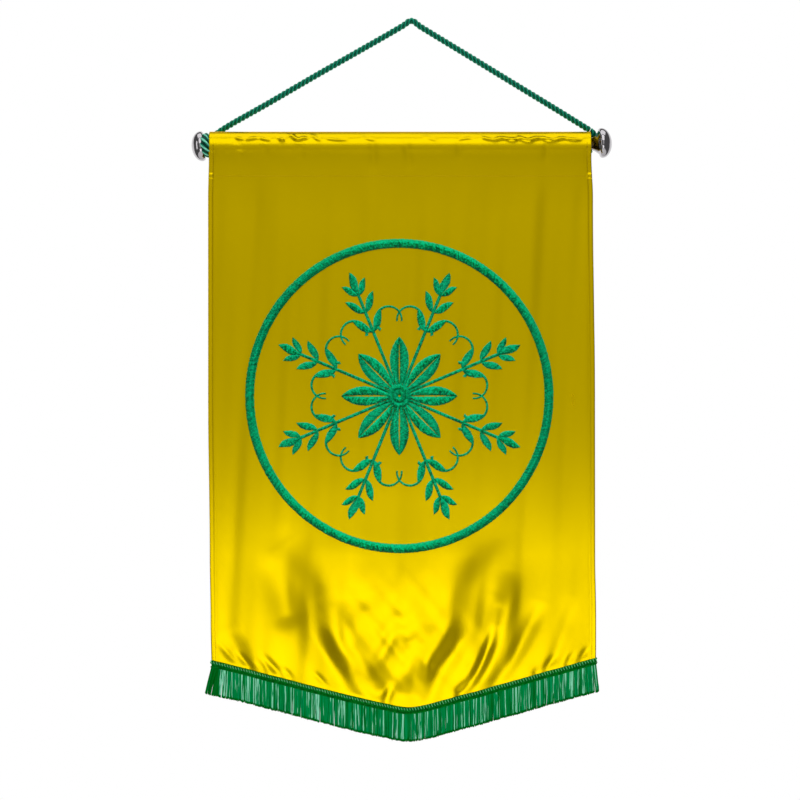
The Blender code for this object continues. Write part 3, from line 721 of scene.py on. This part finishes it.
# Painted light: the colour runs from a near black painted shadow, through the thread's green, to a pale teal
# painted highlight. Threads that face up are painted lighter and those that face down darker, as if lit from
# above. A fine random noise adds painted glints, and the tone also differs at random from thread to thread.
mottle_and_glints = noise(tree, object_place(tree), scale=520.0)
shade = reckoned(tree, "MULTIPLY_ADD", own(tree, "tone"), 0.22, -0.23)
shade = reckoned(tree, "MULTIPLY_ADD", mottle_and_glints, 1.1, shade)
shade = reckoned(tree, "MULTIPLY_ADD", own(tree, "upward_for_painted_light"), 0.42, shade)
coloured(tree, shader, shade, (0.22, (0.0, 0.04, 0.0)), (0.37, (0.0, 0.42, 0.05)), (0.60, (0.0, 0.90, 0.42)))
padding_thread, tree, shader = new_material(
    "green padding thread", Base_Color=(0.0, 0.07, 0.02, 1), Roughness=0.7
)

round_ring = np.linspace(0.0, math.tau, 480, endpoint=False)
middle = RING_RADIUS - RING_WIDTH / 2
ring_line = emblem_line(
    middle * np.cos(round_ring), middle * np.sin(round_ring), RING_WIDTH / 2,
    math.radians(24), RING_HEIGHT, closed=True,
)
threads = grown(
    lines_mesh("ring line", [ring_line]), "ring threads", laid_threads, rayon,
    Spacing=0.78 * MM, Thread_Radius=0.46 * MM, Unevenness=0.06, Seed=11,
)
ring = joined("embroidered_ring", threads, padding("ring padding", [ring_line], padding_thread))
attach(ring, "root")
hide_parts("emblem_ring")


# Embroidered rosette
# The same rayon thread over padding: a boss, eight petals, eight leafy sprigs between them and
# a pair of tendrils on each petal.

PETALS = 8
BOSS = ((9.6, 3.4, 2.2), (4.4, 3.4, 2.6))  # two rings of thread: radius, half width, lift
FLANK_SLANT, FLANK_OVERLAP = math.radians(58), 0.3
PETAL_STEPS, TENDRIL_STEPS, STEM_STEPS, LEAF_STEPS = 40, 48, 90, 24
PETAL = dict(root=8.0, tip=60.0, width=21.0, lift=1.6)
STEM = dict(root=8.0, tip=116.0, width=3.4, lift=0.9)
LEAF_ROOT = 1.2
LEAVES = ((70.0, 25.0, 8.5), (91.0, 24.0, 8.0), (110.0, 20.0, 7.0))
TIP_LEAF = (112.0, 24.0, 9.0)
LEAF_ANGLE = math.radians(40)
TENDRIL = dict(
    centre=78.0, aside=11.0, radius=13.5, width=3.2, lift=0.85,
    sweep=math.radians(235), start=math.radians(40),
)
LEAF_LIFT, STEM_SLANT, LEAF_SLANT = 1.2, math.radians(20), math.radians(28)


def turned_by(x, z, turn, shift=(0.0, 0.0)):
    """A line of the rosette turned about its middle, then moved."""
    cos, sin = math.cos(turn), math.sin(turn)
    return x * cos - z * sin + shift[0], x * sin + z * cos + shift[1]


def blade_half(count, width):
    """Half width of a pointed blade along its length."""
    share = np.linspace(0.0, 1.0, count)
    return np.maximum(width / 2 * np.sin(math.pi * share) ** 0.8, 0.25)


petal_lines, leaf_lines, stem_lines = [], [], []
for petal in range(PETALS):
    turn = math.tau * petal / PETALS + math.pi / 2
    run = np.linspace(PETAL["root"], PETAL["tip"], PETAL_STEPS)
    half = blade_half(PETAL_STEPS, PETAL["width"])
    # Two slanted flanks meet along the petal's spine.
    for side in (-1, 1):
        x, z = turned_by(run, side * half / 2, turn)
        line = emblem_line(x, z, half / 2 + FLANK_OVERLAP, 0.0, PETAL["lift"])
        slanted = turn + side * FLANK_SLANT
        line["across"] = np.broadcast_to((math.cos(slanted), 0.0, math.sin(slanted)), (PETAL_STEPS, 3))
        petal_lines.append(line)
    for side in (-1, 1):
        arc = np.linspace(0.0, 1.0, TENDRIL_STEPS)
        angle = math.pi - side * (TENDRIL["sweep"] * arc + TENDRIL["start"])
        x = TENDRIL["centre"] + TENDRIL["radius"] * np.cos(angle)
        z = side * TENDRIL["aside"] + TENDRIL["radius"] * np.sin(angle)
        half = TENDRIL["width"] / 2 * (1 - 0.4 * arc)
        stem_lines.append(emblem_line(*turned_by(x, z, turn), half, STEM_SLANT, TENDRIL["lift"]))
    turn += math.pi / PETALS
    run = np.linspace(STEM["root"], STEM["tip"], STEM_STEPS)
    stem = turned_by(run, 0 * run, turn)
    stem_lines.append(emblem_line(*stem, STEM["width"] / 2, STEM_SLANT, STEM["lift"]))
    at, length, width = TIP_LEAF
    run = np.linspace(at, at + length, LEAF_STEPS)
    leaf = turned_by(run, 0 * run, turn)
    leaf_lines.append(emblem_line(*leaf, blade_half(LEAF_STEPS, width), LEAF_SLANT, LEAF_LIFT))
    for at, length, width in LEAVES:
        for side in (-1, 1):
            run = np.linspace(LEAF_ROOT, length, LEAF_STEPS)
            leaf = turned_by(*turned_by(run, 0 * run, side * LEAF_ANGLE, (at, 0.0)), turn)
            half = blade_half(LEAF_STEPS, width)
            leaf_lines.append(emblem_line(*leaf, half, side * LEAF_SLANT, LEAF_LIFT))
round_boss = np.linspace(0.0, math.tau, 90, endpoint=False)
for radius, half, lift in BOSS:
    x, z = radius * np.cos(round_boss), radius * np.sin(round_boss)
    petal_lines.append(emblem_line(x, z, half, math.radians(12), lift, closed=True))

ROSETTE_PARTS = (
    ("rosette_petals", petal_lines, 0.80, 0.46),
    ("rosette_leaves", leaf_lines, 0.78, 0.42),
    ("rosette_stems", stem_lines, 0.82, 0.42),
)
for seed, (name, lines, spacing, radius) in enumerate(ROSETTE_PARTS, start=21):
    threads = grown(
        lines_mesh(name + " lines", lines), name + " threads", laid_threads, rayon,
        Spacing=spacing * MM, Thread_Radius=radius * MM, Unevenness=0.07, Seed=seed,
    )
    part = joined(name, threads, padding(name + " padding", lines, padding_thread))
    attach(part, "root")
    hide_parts("emblem_rosette")


# Fringe
# Viscose yarn: a woven heading, sewn along the pointed lower edge, with its cut strands hanging
# from it. The heading is a firm band under three rows of slanted yarn and a row of pale loops.

FRINGE_HEIGHT, HEADING_HEIGHT = 35.7, 8.0
HEM_LEFT, HEM_RIGHT = -197.7, 202.2


def hem_line(under_top, off, x):
    """Points along the heading, so far under its top edge and so far in front of the cloth."""
    return to_world(x, front_y(x, cloth_edge(x)) - off, heading_top(x) + under_top)


def cut_strands_tree():
    """Cut yarn ends hung from each line, with a gentle shared sway that grows downwards."""
    tree, given, result = new_tree(
        "cut strands",
        (
            ("Count", "Int", 300),
            ("Length", "Float", 28 * MM),
            ("Strand Radius", "Float", 0.5 * MM),
            ("Sway", "Float", 1.2 * MM),
            ("Seed", "Int", 1),
            ("Thread", "Material", None),
        ),
    )
    run = seven_points(tree, (0, 0, 0), (0, 0, -1 / 6))
    down = reckoned(tree, "MULTIPLY", own_place(tree)["Z"], -1.0)
    strand = round_thread(tree, stored(tree, run, "down", down), given["Strand Radius"])
    curves = add(tree, "GeometryNodeMeshToCurve", {"Mesh": given["Geometry"]}).outputs["Curve"]
    spaced = add(tree, "GeometryNodeResampleCurve", {"Curve": curves, "Count": given["Count"]})
    jitter = add(
        tree,
        "FunctionNodeRandomValue",
        {"Min": (-0.035, -0.03, 0.0), "Max": (0.035, 0.03, 0.0), "Seed": given["Seed"]},
        data_type="FLOAT_VECTOR",
    )
    way = {0: named(tree, "across", "FLOAT_VECTOR"), 1: jitter.outputs["Value"]}
    hang = add(tree, "ShaderNodeVectorMath", way, operation="ADD")
    turned = add(tree, "FunctionNodeAlignRotationToVector", {"Vector": hang.outputs[0]}, axis="Z")
    uneven = random_number(tree, given["Seed"], 0.975, 1.015)
    tall = reckoned(tree, "MULTIPLY", given["Length"], uneven)
    size = add(tree, "ShaderNodeCombineXYZ", {"X": 1.0, "Y": 1.0, "Z": tall})
    hung = on_each_point(
        tree, spaced.outputs["Curve"], strand, turned.outputs[0], size.outputs[0], given["Seed"]
    )
    drift = add(tree, "ShaderNodeTexNoise", {"Scale": 95.0, "Detail": 2.0})
    off_middle = {0: drift.outputs["Color"], 1: (0.5, 0.5, 0.5)}
    centred = add(tree, "ShaderNodeVectorMath", off_middle, operation="SUBTRACT")
    grow = reckoned(tree, "MULTIPLY", named(tree, "down"), given["Sway"])
    pushed = add(tree, "ShaderNodeVectorMath", {0: centred.outputs[0], "Scale": grow}, operation="SCALE")
    swayed = add(tree, "GeometryNodeSetPosition", {"Geometry": hung, "Offset": pushed.outputs[0]})
    end_tree(tree, swayed.outputs["Geometry"], given["Thread"], result)
    return tree


# Each strand has its own random tone, with pale painted glints in streaks along it that stand for highlights.
# Its cut end is painted darker, as painted shade, and the bunch that is bound together at the left side is
# darker and has no glints.
strand_yarn, tree, shader = new_material(
    "green viscose strands", Roughness=0.45, Specular_IOR_Level=0.3, Specular_Tint=(0.0, 1.0, 0.5, 1)
)
place = object_place(tree)
glints = noise(tree, place, 1.0, stretch=(950.0, 950.0, 50.0))
shade = reckoned(tree, "MULTIPLY", reckoned(tree, "ADD", own(tree, "tone"), glints), 0.6)
# Painted shade: each strand is painted its darkest green near its cut end.
cut_end = {"Value": own(tree, "down"), "From Min": 0.90, "From Max": 0.95, "To Min": 1.0, "To Max": 0.0}
above_cut = add(tree, "ShaderNodeMapRange", cut_end).outputs["Result"]
aside = add(tree, "ShaderNodeSeparateXYZ", {0: place}).outputs["X"]
bunch = {"Value": aside, "From Min": -0.2015, "From Max": -0.1995, "To Min": 0.35}
past_bunch = add(tree, "ShaderNodeMapRange", bunch).outputs["Result"]
shade = reckoned(tree, "MULTIPLY", shade, reckoned(tree, "MULTIPLY", above_cut, past_bunch))
coloured(
    tree, shader, shade,
    (0.24, (0.0, 0.18, 0.004)), (0.46, (0.0, 0.33, 0.06)),
    (0.79, (0.0, 0.42, 0.13)), (0.825, (0.40, 1.0, 0.70)),
)

heading_yarn, tree, shader = new_material(
    "green heading yarn", Roughness=0.45, Specular_IOR_Level=0.3, Specular_Tint=(0.0, 1.0, 0.4, 1)
)
coloured(tree, shader, own(tree, "tone"), (0.0, (0.0, 0.16, 0.004)), (1.0, (0.0, 0.34, 0.02)))
loop_yarn, tree, shader = new_material(
    "pale green loop yarn", Base_Color=(0.18, 0.80, 0.34, 1), Roughness=0.45, Specular_IOR_Level=0.3
)

band_x = np.linspace(HEM_LEFT, HEM_RIGHT, 240)
half = HEADING_HEIGHT / 2
band = [dict(points=hem_line(half, 0.1, band_x), half=half, across=(0, 0, 1), lift=1.3)]
heading_base = padding("heading band", band, padding_thread)
ROWS = (  # under the heading's top, half length, slant from upright, lift
    (1.5, 1.5, 38, 1.9),
    (3.9, 1.9, -38, 1.7),
    (6.4, 1.7, 38, 1.7),
)
rows = []
for under, half, slant, lift in ROWS:
    lean = math.radians(slant)
    across = (math.sin(lean), 0.0, math.cos(lean))
    rows.append(dict(points=hem_line(under, 0.1, band_x), half=half, across=across, lift=lift))
heading_rows = grown(
    lines_mesh("heading lines", rows), "heading rows", laid_threads, heading_yarn,
    Spacing=1.45 * MM, Thread_Radius=0.62 * MM, Unevenness=0.06, Seed=31,
)
lean = math.radians(-24)
across = (math.sin(lean), 0.0, math.cos(lean))
loops = [dict(points=hem_line(2.1, 1.3, band_x), half=1.6, across=across, lift=2.0)]
heading_loops = grown(
    lines_mesh("loop lines", loops), "heading loops", laid_threads, loop_yarn,
    Spacing=2.9 * MM, Thread_Radius=0.46 * MM, Unevenness=0.15, Seed=37,
)
heading = joined("fringe_heading", heading_rows, heading_loops, heading_base)

STRAND_LAYERS = ((0.4, 0.0), (1.1, 0.3), (1.8, -0.3))  # off the cloth, aside
IN_HEADING, FLARE_LEFT, FLARE_RIGHT, FLARE_OVER = 0.8, 6.5, 2.6, 28.0
strand_x = np.linspace(HEM_LEFT + 0.5, HEM_RIGHT - 0.5, 240)
along = (strand_x - HEM_LEFT) / (HEM_RIGHT - HEM_LEFT)
flare = -FLARE_LEFT * (1 - smooth(along, 0.0, 0.06)) + FLARE_RIGHT * smooth(along, 0.95, 0.05)
hang_way = np.stack((-flare / FLARE_OVER, 0 * flare, np.ones(len(flare))), axis=1)
root_drop = HEADING_HEIGHT - IN_HEADING
lines = [
    dict(points=hem_line(root_drop, off, strand_x + aside), half=1.0, across=hang_way, lift=1.0)
    for off, aside in STRAND_LAYERS
]
strands = grown(
    lines_mesh("strand lines", lines), "fringe_strands", cut_strands_tree(), strand_yarn,
    Count=440, Length=(FRINGE_HEIGHT - root_drop) * MM,
    Strand_Radius=0.56 * MM, Sway=1.7 * MM, Seed=41,
)
for part in (heading, strands):
    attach(part, "root")
    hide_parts("fringe")


# Hanging cord
# Three-strand laid cord of green viscose, 7 mm thick, made in two halves of opposite lay that
# meet over the hook. It leaves the winding at the left knob and comes down taut to the right one.

CORD_DIAMETER, CORD_LAY = 6.8, 14.5
CORD_ROUTE = (  # from the hook: x, y, z
    (-212.6, 17.0, -128.5),
    (-210.9, 16.7, -120.6),
    (-206.5, 16.0, -114.0),
    (-198.0, 13.8, -108.0),
    (-150.0, 8.4, -81.5),
    (-100.0, 5.4, -53.0),
    (-50.0, 2.6, -25.1),
    (-19.0, 0.9, -7.7),
    (-9.0, 0.3, -1.9),
    (0.0, 0.0, 3.2),
    (9.0, 0.2, -2.7),
    (19.0, 0.5, -8.8),
    (50.0, 1.2, -27.5),
    (100.2, 2.8, -57.8),
    (150.4, 4.8, -88.0),
    (187.0, 6.4, -110.35),
)


def gone_along(route):
    """Distance walked to each point of a route."""
    return np.concatenate(((0.0,), np.cumsum(np.linalg.norm(np.diff(route, axis=0), axis=1))))


def through(points, step):
    """Points an even step apart along a smooth curve through these."""
    points = np.array(points, dtype=float)
    padded = np.vstack((2 * points[0] - points[1], points, 2 * points[-1] - points[-2]))
    dense = []
    for a, b, c, d in zip(padded, padded[1:], padded[2:], padded[3:]):
        ab, bc, cd = (math.sqrt(np.linalg.norm(q - p)) for p, q in ((a, b), (b, c), (c, d)))
        slope_b = ((b - a) / ab - (c - a) / (ab + bc) + (c - b) / bc) * bc
        slope_c = ((c - b) / bc - (d - b) / (bc + cd) + (d - c) / cd) * bc
        t = np.linspace(0, 1, 24, endpoint=False)[:, None]
        dense.append(
            b * (2 * t**3 - 3 * t**2 + 1) + slope_b * (t**3 - 2 * t**2 + t)
            + c * (3 * t**2 - 2 * t**3) + slope_c * (t**3 - t**2)
        )
    dense = np.vstack(dense + [points[-1:]])
    walked = gone_along(dense)
    even = np.linspace(0.0, walked[-1], max(2, round(walked[-1] / step)) + 1)
    return np.stack([np.interp(even, walked, dense[:, k]) for k in range(3)], axis=1)


def laid_rope(name, route, diameter, lay, material, first_side=(0.0, 1.0, 0.0), turns_over_at=0.0, wide=1.0):
    """A laid three-strand rope along a route in mm: its outer skin, with each strand's yarns. Past
    the distance turns_over_at its lay runs the other way; wide stretches it along its first side."""
    spokes = 36
    strand = diameter / (2 * (1 + 2 / math.sqrt(3)))
    offset = 2 * strand / math.sqrt(3)
    spoke = math.tau * np.arange(spokes) / spokes
    from_ridge = (spoke + math.pi / 3) % (math.tau / 3) - math.pi / 3
    under = np.maximum(strand**2 - (offset * np.sin(from_ridge)) ** 2, 0.0)
    radius = np.maximum(offset * np.cos(from_ridge) + np.sqrt(under), 0.36 * diameter)
    radius = radius + 0.035 * strand * np.cos(from_ridge * 15)
    ahead = np.gradient(route, axis=0)
    ahead /= np.linalg.norm(ahead, axis=1)[:, None]
    walked = gone_along(route)
    side, rings = np.array(first_side, dtype=float), []
    for point, way, gone, flat in zip(route, ahead, walked, np.broadcast_to(wide, len(route))):
        side = side - way * side.dot(way)
        side /= np.linalg.norm(side)
        across = np.cross(way, side)
        turn = (spoke + math.tau * abs(gone - turns_over_at) / lay)[:, None]
        rings.append(point + radius[:, None] * (np.cos(turn) * side * flat + np.sin(turn) * across))
    rings = np.array(rings)
    faces = grid_faces(len(route), spokes, around=True)
    faces.append(list(range(spokes)))
    faces.append([(len(route) - 1) * spokes + k for k in range(spokes - 1, -1, -1)])
    made = mesh_object(name, rings.reshape(-1, 3) * MM, faces, material)
    # Each point says how far out on its strand it lies, for painted shade: the deep between strands is
    # painted darker and the crests lighter.
    out = np.tile((radius - radius.min()) / (radius.max() - radius.min()), len(route))
    made.data.attributes.new("out", "FLOAT", "POINT").data.foreach_set("value", out)
    yarns = made.data.uv_layers.new(name="yarns")
    corners = np.empty(len(made.data.loops), dtype=np.int32)
    made.data.loops.foreach_get("vertex_index", corners)
    uv = np.stack((corners % spokes / spokes, walked[corners // spokes] * MM), axis=1)
    yarns.uv.foreach_set("vector", uv.reshape(-1))
    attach(made, "root")
    return made


rope, tree, shader = new_material(
    "green cord yarn", Metallic=0.25, Roughness=0.33, Specular_Tint=(0.3, 1.0, 0.75, 1)
)
# Painted shade: darker in the grooves between strands, lighter on their crests.
coloured(tree, shader, own(tree, "out"), (0.0, (0.0, 0.075, 0.035)), (1.0, (0.01, 0.42, 0.24)))
yarn_uv = add(tree, "ShaderNodeUVMap", uv_map="yarns").outputs["UV"]
bumped(tree, shader, noise(tree, yarn_uv, 3.0, stretch=(60.0, 700.0, 1.0)), 0.08 * MM)

cord_path = through(CORD_ROUTE, 0.6)
to_hook = gone_along(cord_path)[cord_path[:, 2].argmax()]
cord = laid_rope("hanging_cord", cord_path, CORD_DIAMETER, CORD_LAY, rope, turns_over_at=to_hook)
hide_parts("cord")


# Cord ends
# At the left the cord's end is wound once round the knob's neck, opened out and drawn up over
# the lip in front. At the right its end turns down behind the neck.

RIGHT_TUCK = (  # from the hook: x, y, z
    (187.6, 6.45, -110.7),
    (188.9, 6.6, -111.5),
    (190.2, 7.3, -112.8),
    (190.9, 8.8, -115.0),
    (190.8, 10.6, -118.1),
    (190.1, 12.0, -121.4),
    (189.1, 12.5, -125.2),
    (188.0, 12.1, -129.2),
    (186.7, 10.7, -132.8),
    (185.5, 8.7, -135.6),
)
ROD_LEFT, ROD_RIGHT = -189.8, 190.0
KNOBS_TIPPED = math.radians(5.0)
WINDING = dict(along=12.9, radius=10.2, thick=4.8, lay=-20.5, wide=1.15)
WINDING_IN_FRONT = dict(along=2.1, radius=5.0, wide=0.95)


def tipped(points, end):
    """Points from a rod end, turned with its knob, which sits a little askew."""
    cos, sin = math.cos(KNOBS_TIPPED), math.sin(KNOBS_TIPPED)
    x, y, z = points[..., 0], points[..., 1], points[..., 2]
    return np.stack((end + x * cos - z * sin, y, x * sin + z * cos), axis=-1) + ROD_MIDDLE


# The winding's copy of the cord yarn paints its grooves darker still and its strand crests a pale mint, as
# painted shade and painted highlights.
opened_yarn_painted_light = rope.copy()
opened_yarn_painted_light.name = "green cord yarn, opened out, with painted light"
shades = next(node for node in opened_yarn_painted_light.node_tree.nodes if node.type == "VALTORGB").color_ramp.elements
shades[0].position, shades[0].color = 0.30, (0.0, 0.035, 0.02, 1)
shades[1].position = 0.74
shades.new(0.90).color = (0.35, 0.95, 0.70, 1)

# One turn: from behind the neck over its top, down the front and back under it.
turn = np.radians(np.linspace(100.0, -250.0, 170))
in_front = np.maximum(-np.sin(turn), 0.0) ** 1.6
radius, along = (WINDING[key] + WINDING_IN_FRONT[key] * in_front for key in ("radius", "along"))
wound = np.stack((-along, radius * np.sin(turn), radius * np.cos(turn)), axis=1)
tie_left = laid_rope(
    "cord_winding", tipped(wound, ROD_LEFT), WINDING["thick"], WINDING["lay"], opened_yarn_painted_light,
    first_side=(1, 0, 0), wide=WINDING["wide"] + WINDING_IN_FRONT["wide"] * in_front,
)
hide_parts("tie_left")
tie_right = laid_rope("cord_tuck", through(RIGHT_TUCK, 0.5), CORD_DIAMETER, CORD_LAY, rope)
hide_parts("tie_right")


# Knobs
# Turned end knobs, plated in dark chrome: a shank fixed to the rod's end, a flaring cone, a lip
# and a domed cap. The cord's pull tips each one a little.

OFF_ROD = 0.65
SHANK = ((0.0, 0.0), (0.0, 4.0), (6.9, 4.0))
CONE = ((6.9, 5.2), (8.7, 6.5), (10.9, 8.1), (13.1, 9.8), (15.0, 11.3))
LIP = ((15.4, 12.2), (15.8, 13.6), (16.3, 14.5), (17.0, 15.1), (17.9, 15.5), (18.8, 15.6))
DOME_FROM, DOME_DEPTH, KNOB_RADIUS, SPOKES = 18.8, 10.4, 15.6, 96

chrome, tree, shader = new_material("dark chrome", Base_Color=(0.52, 0.50, 0.52, 1), Metallic=1.0)
roughened(tree, shader, noise(tree, object_place(tree), 4.0, scale=90.0), 0.06, 0.16)

dome_turns = np.linspace(0.0, math.pi / 2, 15)[1:]
dome = [(DOME_FROM + DOME_DEPTH * math.sin(t), KNOB_RADIUS * math.cos(t)) for t in dome_turns]
profile = list(SHANK + CONE + LIP) + dome
spoke = math.tau * np.arange(SPOKES) / SPOKES
cos, sin = np.cos(spoke), np.sin(spoke)
for side, end, name in ((-1, ROD_LEFT, "knob_left"), (1, ROD_RIGHT, "knob_right")):
    rings = [
        np.stack((0 * spoke + side * (OFF_ROD + along), radius * cos, -side * radius * sin), axis=1)
        for along, radius in profile[1:-1]
    ]
    faces = grid_faces(len(rings), SPOKES, around=True)
    count = len(rings) * SPOKES
    faces += [[count, k, (k + 1) % SPOKES] for k in range(SPOKES)]
    faces += [[count + 1, count - SPOKES + (k + 1) % SPOKES, count - SPOKES + k] for k in range(SPOKES)]
    ends = [(side * (OFF_ROD + profile[k][0]), 0.0, 0.0) for k in (0, -1)]
    points = tipped(np.vstack((*rings, ends)), end)
    knob = mesh_object(name + "_turned", points * MM, faces, chrome, 40)
    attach(knob, "root")
    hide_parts(name)


# Studio
# A round pale floor well below and a pale background in a dim room. The softboxes stand high in
# front, overhead, at the left side, and low in front, where the lower satin mirrors them.

FLOOR_Z, FLOOR_RADIUS = -1.62, 1.5
pale_floor, tree, shader = new_material(
    "pale floor", Base_Color=(0.85, 0.85, 0.85, 1), Roughness=0.8,
    Emission_Color=(1, 1, 1, 1), Emission_Strength=0.35,
)
spoke = math.tau * np.arange(96) / 96
rim = np.stack((FLOOR_RADIUS * np.cos(spoke), FLOOR_RADIUS * np.sin(spoke), 0 * spoke + FLOOR_Z), axis=1)
floor = mesh_object("floor", rim, [list(range(96))], pale_floor)


def softbox(name, place, aim, size, radiance):
    """A rectangular soft light; radiance is how bright its face is."""
    lamp = bpy.data.lights.new(name, "AREA")
    lamp.shape = "RECTANGLE"
    lamp.size, lamp.size_y = size
    lamp.energy = radiance * math.pi * size[0] * size[1]
    made = placed(name, lamp)
    made.location = place
    made.rotation_euler = (Vector(aim) - Vector(place)).to_track_quat("-Z", "Y").to_euler()


softbox("high softbox", (0.0, -1.85, 1.25), (0.0, 0.0, -0.13), (2.4, 1.8), 1.3)
softbox("top softbox", (0.0, -0.1, 1.3), (0.0, 0.0, 0.0), (2.4, 1.2), 1.15)
softbox("low softbox", (0.0, -0.95, -0.848), (0.0, 0.0, -0.655), (0.95, 0.46), 1.45)
softbox("side softbox", (-1.6, -0.75, -0.1), (0.0, 0.0, -0.13), (0.5, 1.4), 1.2)

SIDES, IN_FRONT, BEHIND = 0.10, 0.36, 0.90
world = bpy.data.worlds.new("pale room")
bpy.context.scene.world = world
world.use_nodes = True
tree = world.node_tree
sky = tree.nodes["Background"]
way = add(tree, "ShaderNodeSeparateXYZ", {0: add(tree, "ShaderNodeTexCoord").outputs["Generated"]}).outputs


def patch(socket, starts, full, strength):
    """A pale patch of the room, from nothing where the socket is at starts to its strength at full."""
    values = {"Value": socket, "From Min": starts, "From Max": full, "To Max": strength}
    return add(tree, "ShaderNodeMapRange", values, interpolation_type="SMOOTHSTEP").outputs["Result"]


backwards = reckoned(tree, "MULTIPLY_ADD", reckoned(tree, "ABSOLUTE", way["Z"]), -0.45, way["Y"])
behind = patch(backwards, 0.28, 0.42, BEHIND)
in_front = patch(way["Y"], -0.90, -0.985, IN_FRONT)
room = reckoned(tree, "ADD", reckoned(tree, "ADD", behind, in_front), SIDES)
seen = add(tree, "ShaderNodeLightPath").outputs["Is Camera Ray"]
tree.links.new(reckoned(tree, "MAXIMUM", room, seen), sky.inputs["Strength"])
sky.inputs["Color"].default_value = (1.0, 1.0, 1.0, 1.0)
bpy.context.scene.view_settings.view_transform = "Standard"


# Camera
# Square on to the banner from 1.9 m, with a short telephoto lens.

FRAME_WIDTH, DISTANCE = 0.8333, 1.9
CLOTH_FRONT_Y, SIGHT_X, SIGHT_Z = -0.0075, -0.0121, -0.39338
lens = bpy.data.cameras.new("camera")
lens.sensor_width = 36.0
lens.lens = lens.sensor_width * DISTANCE / FRAME_WIDTH
camera = placed("camera", lens)
camera.location = (SIGHT_X, CLOTH_FRONT_Y - DISTANCE, SIGHT_Z)
camera.rotation_euler = (math.pi / 2, 0.0, 0.0)
bpy.context.scene.camera = camera
